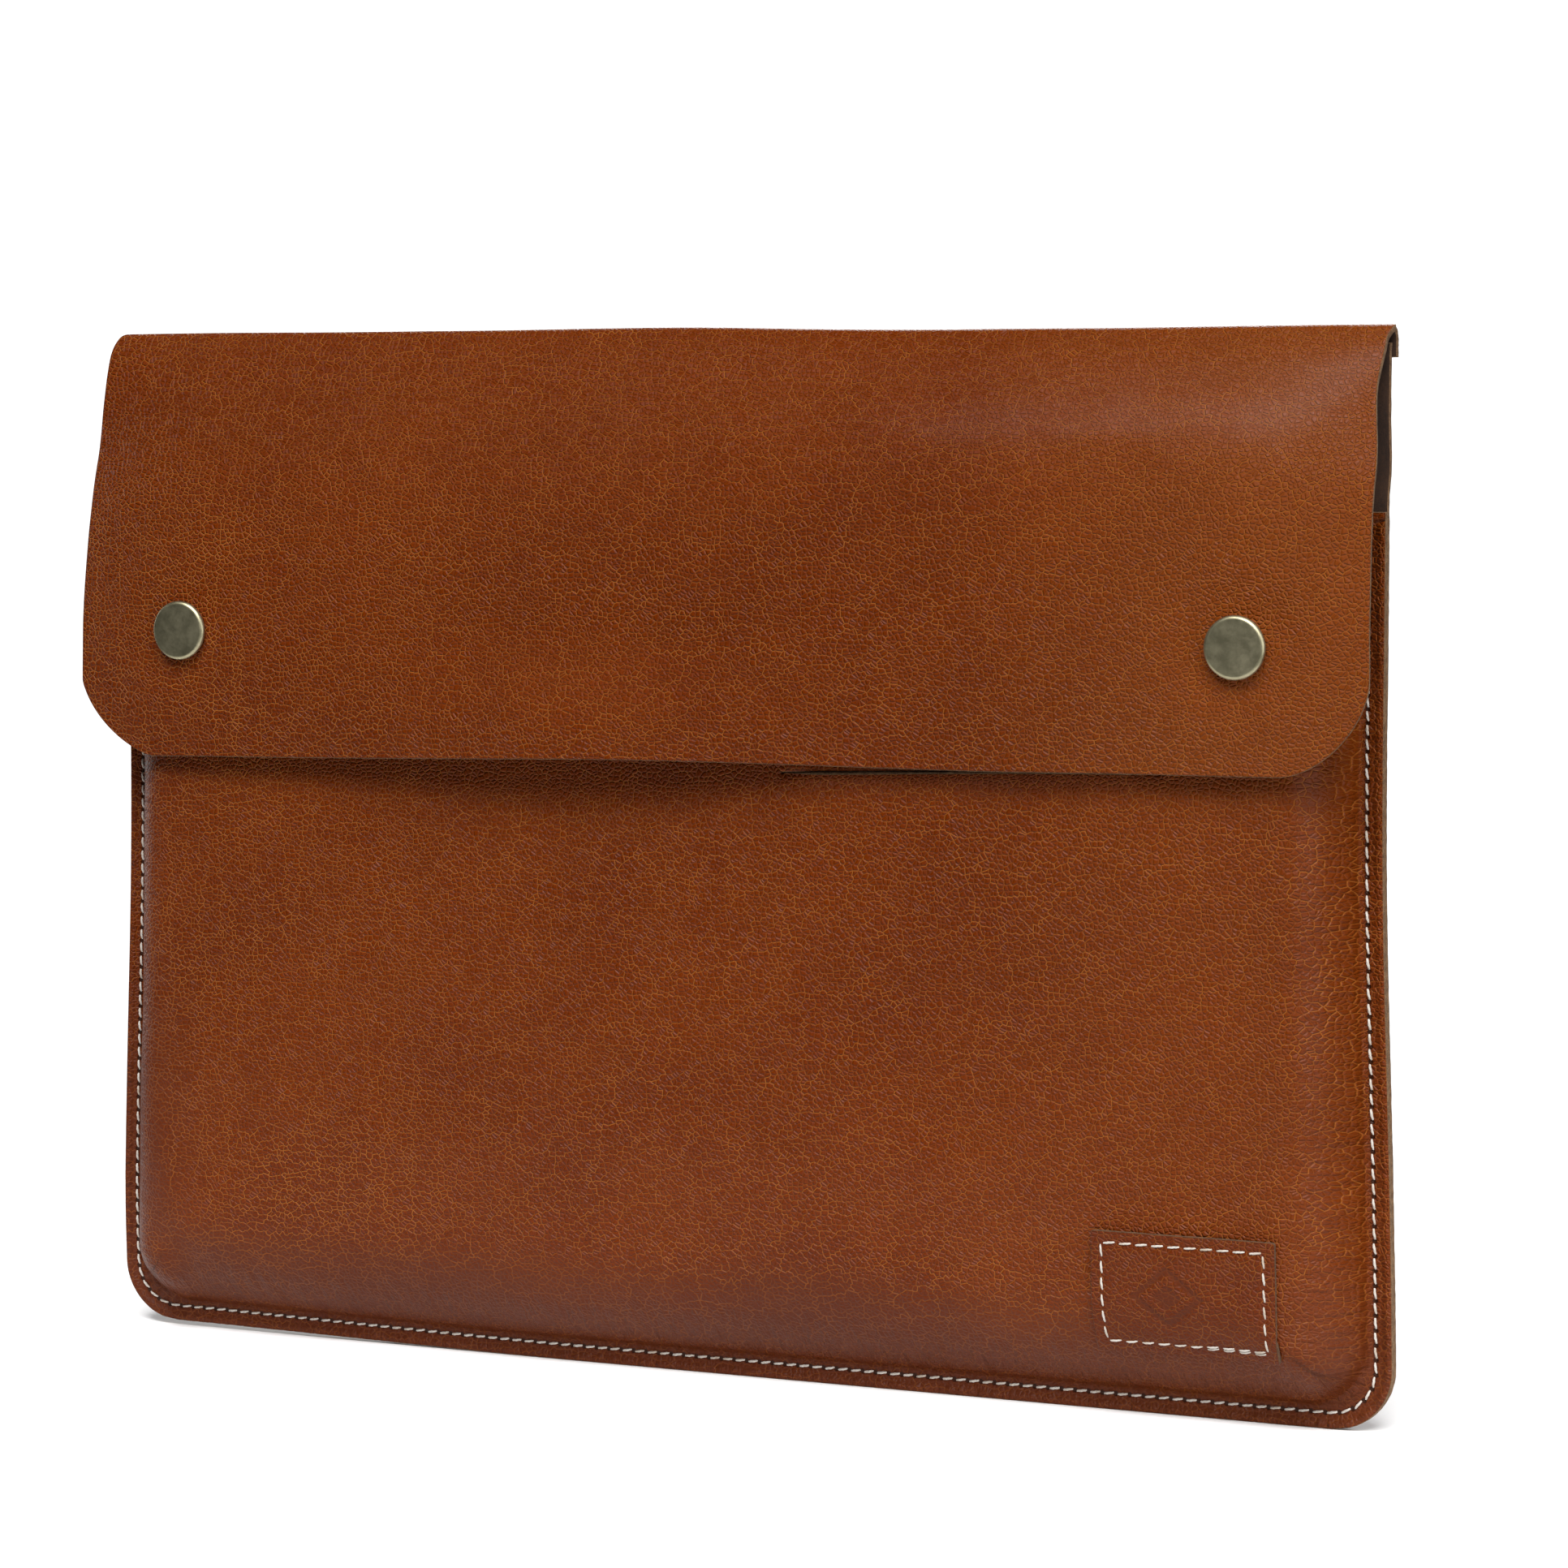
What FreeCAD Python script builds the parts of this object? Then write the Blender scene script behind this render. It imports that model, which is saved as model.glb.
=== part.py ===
"""Leather laptop sleeve: sewn envelope body, fold-over flap and two press studs.

Units are millimetres, +Z is up and the front faces -Y.  Every sub-part is
drawn about the side seam's plane (y = 0), and its Placement then moves it back
by y_shift, so that the origin lies at the bottom centre of the whole sleeve.
"""
import FreeCAD
import Part
import Sketcher
import os
import re

Vector = FreeCAD.Vector
Rotation = FreeCAD.Rotation
Placement = FreeCAD.Placement

ALONG_X = Vector(1, 0, 0)
ALONG_Y = Vector(0, 1, 0)
SIDES = (("left", "-"), ("right", ""))

doc = FreeCAD.newDocument("laptop_sleeve")

# --------------------------------------------------------------------------
# Driving dimensions: alias, value, what it is
# --------------------------------------------------------------------------
DIMENSIONS = [
    ("leather", 1.6, "thickness of the sleeve's leather"),
    ("y_shift", 10.84, "distance from the seam plane to the middle of the depth"),
    ("total_height", 258.0, "top of the fold"),
    ("body_half", 174.0, "half width of the front and back panels"),
    ("body_corner", 15.0, "radius of the panels' bottom corners"),
    ("back_top", 254.0, "top edge of the back panel"),
    ("front_top", 215.0, "top edge of the front panel"),
    ("flange_gap", 0.1, "gap between the two panels at the side seam"),
    ("bulge_seam_half", 168.0, "half width of the front bulge at the seam"),
    ("bulge_seam_low", 6.0, "lower end of the front bulge at the seam"),
    ("bulge_face_half", 160.0, "half width of the front bulge at its face"),
    ("bulge_face_low", 12.0, "lower end of the front bulge at its face"),
    ("bulge_face", 19.0, "front panel's face ahead of the seam plane"),
    ("bulge_corner", 12.0, "radius of the bulge's bottom corners"),
    ("bulge_edge", 8.0, "radius of the bulge's shoulder"),
    ("seam_inset", 4.0, "body seam from the panel's edge"),
    ("seam_corner", 11.0, "radius of the body seam at the corners"),
    ("seam_top", 211.0, "upper end of the body seam"),
    ("slit_left", 26.0, "left end of the pocket slit"),
    ("slit_right", 126.0, "right end of the pocket slit"),
    ("slit_height", 152.0, "middle of the pocket slit above the base"),
    ("slit_gape", 1.2, "opening of the pocket slit"),
    ("slit_stitch", 3.0, "pocket stitching above the slit"),
    ("bag_margin", 6.0, "pocket bag beyond the slit's ends and above it"),
    ("bag_drop", 88.0, "pocket bag below the slit"),
    ("bag_depth", 2.2, "pocket bag's whole depth"),
    ("bag_wall", 0.6, "pocket bag's lining thickness"),
    ("loop_middle", 0.65, "middle of the fold loop behind the seam plane"),
    ("loop_split", 0.15, "half of the gap between flap and fold strip"),
    ("loop_front", 2.6, "flap's face at the fold, ahead of the seam plane"),
    ("lap_back", 3.9, "fold strip's face behind the seam plane"),
    ("lap_drop", 7.4, "fold strip's cut end below the fold"),
    ("lap_stitch", 2.2, "flap seam above the fold strip's cut end"),
    ("loop_outside", 3.05, "outside radius of the fold"),
    ("loop_inside", 1.45, "inside radius of the fold"),
    ("bend_high", 250.5, "height where the flap starts to lean forward"),
    ("bend_low", 222.0, "height where the flap turns down again"),
    ("bend_miter", 0.267, "offset of the bends' corners for an even thickness"),
    ("bend_high_radius", 10.0, "inside radius of the upper bend"),
    ("bend_low_radius", 25.0, "inside radius of the lower bend"),
    ("flap_face", 24.0, "flap's face ahead of the seam plane"),
    ("flap_bottom", 153.5, "lower edge of the flap"),
    ("flap_half_top", 171.5, "half width of the flap at the fold"),
    ("flap_half_low", 175.0, "half width of the flap at its lower corners"),
    ("flap_full_height", 215.0, "height where the flap reaches its full width"),
    ("flap_corner", 24.0, "radius of the flap's lower corners"),
    ("snap_x", 142.0, "press stud from the middle"),
    ("snap_height", 184.0, "press stud above the base"),
    ("snap_hole", 1.5, "radius of the holes for the press studs' stems"),
    ("cap_radius", 7.5, "radius of the press-stud cap"),
    ("cap_rise", 2.2, "height of the cap over the leather"),
    ("cap_rim", 1.0, "height and width of the cap's rounded rim"),
    ("stem_radius", 1.3, "radius of the riveted stems"),
    ("socket_radius", 6.2, "radius of the press-stud socket"),
    ("socket_depth", 2.5, "depth of the socket behind the flap"),
    ("socket_floor", 0.6, "thickness of the socket's floor and lips"),
    ("socket_mouth", 2.9, "radius of the socket's mouth"),
    ("socket_groove", 3.8, "radius of the groove that holds the spring"),
    ("spring_ring", 3.38, "radius of the spring ring's middle line"),
    ("spring_wire", 0.35, "radius of the spring's wire"),
    ("stud_base", 5.0, "radius of the stud's base"),
    ("stud_plate", 0.5, "thickness of the stud's base"),
    ("stud_neck", 1.5, "radius of the stud's neck"),
    ("stud_head", 1.9, "radius of the stud's head"),
    ("stud_rise", 2.2, "height of the stud over the front panel"),
    ("stud_head_rise", 1.0, "height of the stud's head"),
    ("post_radius", 5.0, "radius of the post's base inside the sleeve"),
    ("post_plate", 0.8, "thickness of the post's base"),
    ("patch_x", 128.8, "middle of the patch from the middle of the sleeve"),
    ("patch_height", 32.2, "middle of the patch above the base"),
    ("patch_half_width", 23.0, "half width of the patch"),
    ("patch_half_height", 14.2, "half height of the patch"),
    ("patch_leather", 1.2, "thickness of the patch"),
    ("patch_corner", 1.5, "radius of the patch's corners"),
    ("patch_inset", 2.8, "patch stitching from the patch's edge"),
    ("thread", 0.6, "thickness of the sewing thread"),
    ("thread_gap", 0.02, "thread's clearance over the leather"),
]

sheet = doc.addObject("Spreadsheet::Sheet", "Sheet")
for row, (alias, number, note) in enumerate(DIMENSIONS, start=1):
    sheet.set("A%d" % row, note)
    sheet.set("B%d" % row, str(number))
    sheet.setAlias("B%d" % row, alias)
doc.recompute()

sub_parts = []


# --------------------------------------------------------------------------
# Helpers: every length is an expression over the sheet's aliases
# --------------------------------------------------------------------------
def bound(text):
    """The expression with each alias pointing into the sheet."""
    return re.sub(r"[a-z_]+", lambda word: "Sheet." + word.group(), text)


def value_of(text):
    """The expression's value in millimetres."""
    return float(sheet.evalExpression(bound(text)))


def origin_plane(body, role):
    """The body's own origin plane with the given role."""
    for feature in body.Origin.OriginFeatures:
        if feature.Role == role:
            return feature
    raise ValueError("no origin plane " + role)


def new_body(label, x="0", z="0"):
    """A body that is one sub-part, placed over the sleeve's origin."""
    body = doc.addObject("PartDesign::Body", label)
    body.Label = label
    place(body, x, z)
    return body


def place(thing, x="0", z="0"):
    """Bind a sub-part's Placement to the sheet and list it for export."""
    corner = {"x": x, "y": "y_shift", "z": z}
    thing.Placement = Placement(Vector(*[value_of(text) for text in corner.values()]), Rotation())
    for axis, text in corner.items():
        thing.setExpression("Placement.Base." + axis, bound(text))
    sub_parts.append(thing)


def new_sketch(body, name, role, offset="0"):
    """A sketch on an origin plane, moved along the plane's normal."""
    sketch = body.newObject("Sketcher::SketchObject", name)
    sketch.AttachmentSupport = [(origin_plane(body, role), "")]
    sketch.MapMode = "FlatFace"
    sketch.AttachmentOffset = Placement(Vector(0, 0, value_of(offset)), Rotation())
    sketch.setExpression("AttachmentOffset.Base.z", bound(offset))
    return sketch


def add_named(sketch, name, constraint, text):
    """Add a constraint whose value is bound to the sheet."""
    index = sketch.addConstraint(constraint)
    sketch.renameConstraint(index, name)
    sketch.setExpression("Constraints." + name, bound(text))


def pin_point(sketch, name, geometry, position, point):
    """Fix one point of a sketch to coordinates given as expressions."""
    for axis, text in zip("XY", point):
        pin = Sketcher.Constraint("Distance" + axis, -1, 1, geometry, position, value_of(text))
        add_named(sketch, name + axis, pin, text)


def draw_polygon(sketch, name, corners):
    """A closed polygon whose corners are all bound to the sheet."""
    points = [Vector(value_of(x), value_of(y), 0) for x, y in corners]
    first = sketch.GeometryCount
    count = len(points)
    for number in range(count):
        line = Part.LineSegment(points[number], points[(number + 1) % count])
        sketch.addGeometry(line, False)
    for number in range(count):
        following = first + (number + 1) % count
        sketch.addConstraint(Sketcher.Constraint("Coincident", first + number, 2, following, 1))
    for number, corner in enumerate(corners):
        pin_point(sketch, "%s%d" % (name, number), first + number, 1, corner)


def draw_rectangle(sketch, name, left, low, right, top):
    """A rectangle given by its left, low, right and top edges."""
    draw_polygon(sketch, name, [(left, low), (right, low), (right, top), (left, top)])


def draw_circle(sketch, name, centre, radius):
    """A circle bound to the sheet."""
    middle = Vector(value_of(centre[0]), value_of(centre[1]), 0)
    circle = Part.Circle(middle, Vector(0, 0, 1), value_of(radius))
    geometry = sketch.addGeometry(circle, False)
    pin_point(sketch, name, geometry, 3, centre)
    add_named(sketch, name + "Radius", Sketcher.Constraint("Radius", geometry, value_of(radius)), radius)


def pad(body, name, sketch, length, both_ways=False, backwards=False):
    """Pad a sketch by a length bound to the sheet."""
    feature = body.newObject("PartDesign::Pad", name)
    feature.Profile = sketch
    feature.Length = value_of(length)
    feature.setExpression("Length", bound(length))
    feature.Midplane = both_ways
    feature.Reversed = backwards
    doc.recompute()
    return feature


def pocket_through(body, name, sketch):
    """Cut a sketch through everything, both ways, and check that it cuts."""
    before = body.Shape.Volume
    feature = body.newObject("PartDesign::Pocket", name)
    feature.Profile = sketch
    feature.Type = "ThroughAll"
    feature.Midplane = True
    doc.recompute()
    if body.Shape.Volume > before - 0.01:
        raise ValueError(name + " removed nothing")
    return feature


def fillet(body, name, radius, wanted):
    """Round the edges of the body's tip that `wanted` accepts."""
    tip = body.Tip
    edges = ["Edge%d" % number for number, edge in enumerate(tip.Shape.Edges, start=1) if wanted(edge)]
    if not edges:
        raise ValueError(name + " found no edges")
    feature = body.newObject("PartDesign::Fillet", name)
    feature.Base = (tip, edges)
    feature.Radius = value_of(radius)
    feature.setExpression("Radius", bound(radius))
    doc.recompute()
    return feature


def revolve(body, name, outline, angle=360.0):
    """Turn an outline of (radius, forward) corners about the stud's axis."""
    sketch = new_sketch(body, name + "Outline", "XY_Plane")
    draw_polygon(sketch, "turn", [(radius, "-(" + forward + ")") for radius, forward in outline])
    feature = body.newObject("PartDesign::Revolution", name)
    feature.Profile = sketch
    feature.ReferenceAxis = (sketch, ["V_Axis"])
    feature.Angle = angle
    doc.recompute()
    return feature


def close_to(number, text):
    """True when a length agrees with an expression."""
    return abs(number - value_of(text)) < 0.01


def middle_of(edge):
    """Point half way along an edge."""
    first, last = edge.ParameterRange
    return edge.valueAt((first + last) / 2)


def chord_of(edge):
    """Direction of a straight edge, or a null vector for a curved one."""
    first, last = edge.ParameterRange
    chord = edge.valueAt(last) - edge.valueAt(first)
    if edge.Length > chord.Length + 0.001:
        return Vector()
    return chord.normalize()


def runs_along(edge, axis):
    """True for a straight edge parallel to the given axis."""
    return abs(chord_of(edge).dot(axis)) > 0.999


def corner_edges(half, low):
    """Selector for the edges through the leather at two bottom corners."""
    def wanted(edge):
        middle = middle_of(edge)
        return close_to(abs(middle.x), half) and close_to(middle.z, low) and runs_along(edge, ALONG_Y)
    return wanted


def bend_edge(forward, height):
    """Selector for a long edge across the sleeve at one corner of a profile."""
    def wanted(edge):
        middle = middle_of(edge)
        at_corner = close_to(-middle.y, forward) and close_to(middle.z, height)
        return at_corner and runs_along(edge, ALONG_X)
    return wanted


# --------------------------------------------------------------------------
# Back panel
# --------------------------------------------------------------------------
back_panel = new_body("back_panel")
outline = new_sketch(back_panel, "BackOutline", "XZ_Plane")
draw_rectangle(outline, "panel", "-body_half", "0", "body_half", "back_top")
pad(back_panel, "BackLeather", outline, "leather", backwards=True)
fillet(back_panel, "BackCorners", "body_corner", corner_edges("body_half", "0"))

# --------------------------------------------------------------------------
# Front panel: seam flange, bulge over the laptop, pocket slit and stud holes
# --------------------------------------------------------------------------
def slanted_corner(edge):
    """True for a bulge's two slanted bottom corners."""
    return min(abs(number) for number in chord_of(edge)) > 0.1


def face_rim(depth):
    """Selector for the rim of a bulge's face, apart from its top edge."""
    def wanted(edge):
        box = edge.BoundBox
        flat = close_to(-box.YMin, depth) and close_to(-box.YMax, depth)
        return flat and box.ZMin < value_of("front_top") - 1
    return wanted


def make_bulge(body, name, start, inset, top):
    """Bulge from one depth forward, drawn inside the leather's face by an inset."""
    face = "bulge_face - " + inset
    rings = []
    for place_name, depth in (("Seam", start), ("Face", face)):
        ring = new_sketch(body, name + place_name, "XZ_Plane", depth)
        half = "bulge_" + place_name.lower() + "_half"
        low = "bulge_" + place_name.lower() + "_low"
        draw_rectangle(ring, "ring", "-%s + %s" % (half, inset), "%s + %s" % (low, inset),
                       "%s - %s" % (half, inset), top)
        rings.append(ring)
    bulge = body.newObject("PartDesign::AdditiveLoft", name)
    bulge.Profile = rings[0]
    bulge.Sections = [rings[1]]
    bulge.Ruled = True
    doc.recompute()
    fillet(body, name + "Corners", "bulge_corner - " + inset, slanted_corner)
    fillet(body, name + "Shoulder", "bulge_edge - " + inset, face_rim(face))


outside = doc.addObject("PartDesign::Body", "FrontOutside")
make_bulge(outside, "Bulge", "flange_gap", "0", "front_top")
flange = new_sketch(outside, "FlangeOutline", "XZ_Plane", "flange_gap")
draw_rectangle(flange, "flange", "-body_half", "0", "body_half", "front_top")
pad(outside, "Flange", flange, "leather")
fillet(outside, "FlangeCorners", "body_corner", corner_edges("body_half", "0"))

hollow = doc.addObject("PartDesign::Body", "FrontHollow")
make_bulge(hollow, "Hollow", "0", "leather", "front_top + leather")

openings = doc.addObject("PartDesign::Body", "FrontOpenings")
slit = new_sketch(openings, "SlitOutline", "XZ_Plane")
draw_rectangle(slit, "slit", "slit_left", "slit_height - slit_gape / 2",
               "slit_right", "slit_height + slit_gape / 2")
for side, sign in SIDES:
    draw_circle(slit, side, (sign + "snap_x", "snap_height"), "snap_hole")
pad(openings, "SlitAndStudHoles", slit, "bulge_face + leather")

removed = doc.addObject("Part::Fuse", "FrontRemoved")
removed.Base = hollow
removed.Tool = openings
front_panel = doc.addObject("Part::Cut", "front_panel")
front_panel.Label = "front_panel"
front_panel.Base = outside
front_panel.Tool = removed
place(front_panel)
doc.recompute()

# --------------------------------------------------------------------------
# Flap: front half of the fold, lean over the laptop's edge, hanging face
# --------------------------------------------------------------------------
flap = new_body("flap")
section = new_sketch(flap, "FlapSection", "YZ_Plane")
draw_polygon(section, "flap", [
    ("loop_middle - loop_split", "total_height"),
    ("-loop_front", "total_height"),
    ("-loop_front", "bend_high + bend_miter"),
    ("-flap_face", "bend_low + bend_miter"),
    ("-flap_face", "flap_bottom"),
    ("-flap_face + leather", "flap_bottom"),
    ("-flap_face + leather", "bend_low - bend_miter"),
    ("-loop_front + leather", "bend_high - bend_miter"),
    ("-loop_front + leather", "total_height - leather"),
    ("loop_middle - loop_split", "total_height - leather")])
pad(flap, "FlapLeather", section, "flap_half_low * 2", both_ways=True)
fillet(flap, "FoldOutside", "loop_outside", bend_edge("loop_front", "total_height"))
fillet(flap, "FoldInside", "loop_inside", bend_edge("loop_front - leather", "total_height - leather"))
fillet(flap, "HighBendFront", "bend_high_radius", bend_edge("loop_front", "bend_high + bend_miter"))
fillet(flap, "HighBendBack", "bend_high_radius + leather",
       bend_edge("loop_front - leather", "bend_high - bend_miter"))
fillet(flap, "LowBendFront", "bend_low_radius + leather", bend_edge("flap_face", "bend_low + bend_miter"))
fillet(flap, "LowBendBack", "bend_low_radius", bend_edge("flap_face - leather", "bend_low - bend_miter"))

sides = new_sketch(flap, "FlapSides", "XZ_Plane")
for side, sign in SIDES:
    draw_polygon(sides, side, [
        (sign + "flap_half_low", "flap_full_height"),
        (sign + "flap_half_top", "total_height - lap_drop"),
        (sign + "flap_half_top", "total_height + leather"),
        (sign + "(flap_half_low + leather)", "total_height + leather"),
        (sign + "(flap_half_low + leather)", "flap_full_height")])
pocket_through(flap, "FlapSideTrim", sides)
fillet(flap, "FlapCorners", "flap_corner", corner_edges("flap_half_low", "flap_bottom"))

holes = new_sketch(flap, "CapHoleOutline", "XZ_Plane")
for side, sign in SIDES:
    draw_circle(holes, side, (sign + "snap_x", "snap_height"), "snap_hole")
pocket_through(flap, "CapHoles", holes)

# --------------------------------------------------------------------------
# Fold strip: rear half of the fold, lapped over the back panel's top
# --------------------------------------------------------------------------
fold_strip = new_body("flap_fold_strip")
section = new_sketch(fold_strip, "StripSection", "YZ_Plane")
draw_polygon(section, "strip", [
    ("loop_middle + loop_split", "total_height"),
    ("loop_middle + loop_split", "total_height - leather"),
    ("lap_back - leather", "total_height - leather"),
    ("lap_back - leather", "total_height - lap_drop"),
    ("lap_back", "total_height - lap_drop"),
    ("lap_back", "total_height")])
pad(fold_strip, "StripLeather", section, "flap_half_top * 2", both_ways=True)
fillet(fold_strip, "StripOutside", "loop_outside", bend_edge("-lap_back", "total_height"))
fillet(fold_strip, "StripInside", "loop_inside",
       bend_edge("-lap_back + leather", "total_height - leather"))

# --------------------------------------------------------------------------
# Patch
# --------------------------------------------------------------------------
name_patch = new_body("name_patch", "patch_x", "patch_height")
outline = new_sketch(name_patch, "PatchOutline", "XZ_Plane", "bulge_face")
draw_rectangle(outline, "patch", "-patch_half_width", "-patch_half_height",
               "patch_half_width", "patch_half_height")
pad(name_patch, "PatchLeather", outline, "patch_leather")


def patch_corner_edges(edge):
    """The patch's four short corner edges."""
    return runs_along(edge, ALONG_Y)


fillet(name_patch, "PatchCorners", "patch_corner", patch_corner_edges)


# --------------------------------------------------------------------------
# Pocket bag: flat lining bag that hangs behind the slit
# --------------------------------------------------------------------------
def add_box(name, low_corner, high_corner):
    """A Part::Box between two corners given as expressions."""
    box = doc.addObject("Part::Box", name)
    for axis, prop, low, high in zip("xyz", ("Length", "Width", "Height"), low_corner, high_corner):
        span = "(" + high + ") - (" + low + ")"
        setattr(box, prop, value_of(span))
        box.setExpression(prop, bound(span))
        box.setExpression("Placement.Base." + axis, bound(low))
    return box


bag_outside = add_box(
    "BagOutside",
    ("slit_left - bag_margin", "-bulge_face + leather + flange_gap", "slit_height - bag_drop"),
    ("slit_right + bag_margin", "-bulge_face + leather + flange_gap + bag_depth", "slit_height + bag_margin"))
bag_inside = add_box(
    "BagInside",
    ("slit_left - bag_margin + bag_wall", "-bulge_face + leather + flange_gap + bag_wall",
     "slit_height - bag_drop + bag_wall"),
    ("slit_right + bag_margin - bag_wall", "-bulge_face + leather + flange_gap + bag_depth - bag_wall",
     "slit_height + slit_gape / 2"))
bag_mouth = add_box(
    "BagMouth",
    ("slit_left", "-bulge_face", "slit_height - slit_gape / 2"),
    ("slit_right", "-bulge_face + leather + flange_gap + bag_wall + thread_gap", "slit_height + slit_gape / 2"))
bag_space = doc.addObject("Part::Fuse", "BagSpace")
bag_space.Base = bag_inside
bag_space.Tool = bag_mouth
pocket_bag = doc.addObject("Part::Cut", "slip_pocket_bag")
pocket_bag.Label = "slip_pocket_bag"
pocket_bag.Base = bag_outside
pocket_bag.Tool = bag_space
place(pocket_bag)
doc.recompute()


# --------------------------------------------------------------------------
# Press studs: cap, socket and spring on the flap, stud and post on the body
# --------------------------------------------------------------------------
def snap_body(side, sign, name):
    """Body of one press-stud piece, placed on the stud's axis."""
    return new_body(side + "_" + name, sign + "snap_x", "snap_height")


def make_cap(side, sign):
    """Shallow dome with a rounded rim, and a stem through the flap."""
    cap = snap_body(side, sign, "snap_cap")
    revolve(cap, side + "Cap", [
        ("0", "flap_face + cap_rise"),
        ("cap_radius - cap_rim * 3", "flap_face + cap_rise - cap_rim / 8"),
        ("cap_radius - cap_rim", "flap_face + cap_rise - cap_rim / 3"),
        ("cap_radius - cap_rim / 4", "flap_face + cap_rise - cap_rim * 3 / 4"),
        ("cap_radius", "flap_face + cap_rise - cap_rim * 4 / 3"),
        ("cap_radius", "flap_face + cap_rim / 3"),
        ("cap_radius - cap_rim / 3", "flap_face + thread_gap"),
        ("stem_radius", "flap_face + thread_gap"),
        ("stem_radius", "flap_face - leather - socket_floor"),
        ("0", "flap_face - leather - socket_floor")])


def make_socket(side, sign):
    """Ring that takes the stud, with a groove inside for the spring."""
    socket = snap_body(side, sign, "snap_socket")
    rear = "flap_face - leather - thread_gap"
    mouth = "flap_face - leather - socket_depth"
    revolve(socket, side + "Socket", [
        ("stem_radius + thread_gap", rear),
        ("socket_radius", rear),
        ("socket_radius", mouth + " + socket_floor"),
        ("socket_radius - socket_floor", mouth),
        ("socket_mouth", mouth),
        ("socket_mouth", mouth + " + socket_floor"),
        ("socket_groove", mouth + " + socket_floor"),
        ("socket_groove", "flap_face - leather - socket_floor"),
        ("stem_radius + thread_gap", "flap_face - leather - socket_floor")])


def make_spring(side, sign):
    """Open wire ring inside the socket's groove."""
    spring = snap_body(side, sign, "snap_spring")
    sketch = new_sketch(spring, side + "WireSection", "XY_Plane")
    middle = "-(flap_face - leather - socket_depth / 2)"
    draw_circle(sketch, "wire", ("spring_ring", middle), "spring_wire")
    ring = spring.newObject("PartDesign::Revolution", side + "Wire")
    ring.Profile = sketch
    ring.ReferenceAxis = (sketch, ["V_Axis"])
    ring.Angle = 325.0
    doc.recompute()


def make_stud(side, sign):
    """Round-headed stud riveted to the front panel's outside."""
    stud = snap_body(side, sign, "snap_stud")
    face = "bulge_face + thread_gap"
    revolve(stud, side + "Stud", [
        ("stem_radius + thread_gap", face),
        ("stud_base", face),
        ("stud_base - stud_plate", face + " + stud_plate"),
        ("stud_neck", face + " + stud_plate"),
        ("stud_neck", face + " + stud_rise - stud_head_rise"),
        ("stud_head", face + " + stud_rise - stud_head_rise * 2 / 3"),
        ("stud_head", face + " + stud_rise - stud_head_rise / 3"),
        ("stud_neck", face + " + stud_rise"),
        ("stem_radius + thread_gap", face + " + stud_rise")])


def make_post(side, sign):
    """Post that holds the stud: base inside the sleeve, stem through it."""
    post = snap_body(side, sign, "snap_post")
    inside = "bulge_face - leather - thread_gap"
    revolve(post, side + "Post", [
        ("0", inside + " - post_plate"),
        ("post_radius - post_plate / 2", inside + " - post_plate"),
        ("post_radius", inside + " - post_plate / 2"),
        ("post_radius", inside),
        ("stem_radius", inside),
        ("stem_radius", "bulge_face + stud_rise"),
        ("0", "bulge_face + stud_rise")])


for side, sign in SIDES:
    make_cap(side, sign)
    make_socket(side, sign)
    make_spring(side, sign)
    make_stud(side, sign)
    make_post(side, sign)


# --------------------------------------------------------------------------
# Threads
# --------------------------------------------------------------------------
def seam_thread(label, forward):
    """Thread along the body's sides and bottom, its middle line at one depth."""
    body = new_body(label)
    path = new_sketch(body, label + "_path", "XZ_Plane", forward)
    side_x = value_of("body_half - seam_inset")
    low = value_of("seam_inset")
    radius = value_of("seam_corner")
    top = value_of("seam_top")
    middle = Vector(0, 0, 1)
    left_arc = Part.Circle(Vector(radius - side_x, low + radius, 0), middle, radius)
    right_arc = Part.Circle(Vector(side_x - radius, low + radius, 0), middle, radius)
    half_turn = 3.141592653589793
    path.addGeometry([
        Part.LineSegment(Vector(-side_x, top, 0), Vector(-side_x, low + radius, 0)),
        Part.ArcOfCircle(left_arc, half_turn, half_turn * 1.5),
        Part.LineSegment(Vector(radius - side_x, low, 0), Vector(side_x - radius, low, 0)),
        Part.ArcOfCircle(right_arc, half_turn * 1.5, half_turn * 2),
        Part.LineSegment(Vector(side_x, low + radius, 0), Vector(side_x, top, 0))], False)
    path.addConstraint([
        Sketcher.Constraint("Vertical", 0),
        Sketcher.Constraint("Horizontal", 2),
        Sketcher.Constraint("Vertical", 4)])
    for first, second in ((0, 1), (1, 2), (2, 3), (3, 4)):
        path.addConstraint(Sketcher.Constraint("Tangent", first, 2, second, 1))
    pin_point(path, "start", 0, 1, ("-body_half + seam_inset", "seam_top"))
    pin_point(path, "finish", 4, 2, ("body_half - seam_inset", "seam_top"))
    for geometry, name in ((1, "leftRadius"), (3, "rightRadius")):
        add_named(path, name, Sketcher.Constraint("Radius", geometry, radius), "seam_corner")
    add_named(path, "low", Sketcher.Constraint("DistanceY", -1, 1, 2, 1, low), "seam_inset")
    section = new_sketch(body, label + "_section", "XY_Plane", "seam_top")
    draw_circle(section, "strand", ("-body_half + seam_inset", "-(" + forward + ")"), "thread / 2")
    strand = body.newObject("PartDesign::AdditivePipe", label + "_strand")
    strand.Profile = section
    strand.Spine = path
    doc.recompute()


def straight_thread(label, left, right, height, forward):
    """Thread along X between two ends, its middle line at one depth."""
    body = new_body(label)
    section = new_sketch(body, label + "_section", "YZ_Plane", left)
    draw_circle(section, "strand", ("-(" + forward + ")", height), "thread / 2")
    pad(body, label + "_strand", section, "(" + right + ") - (" + left + ")")


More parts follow.
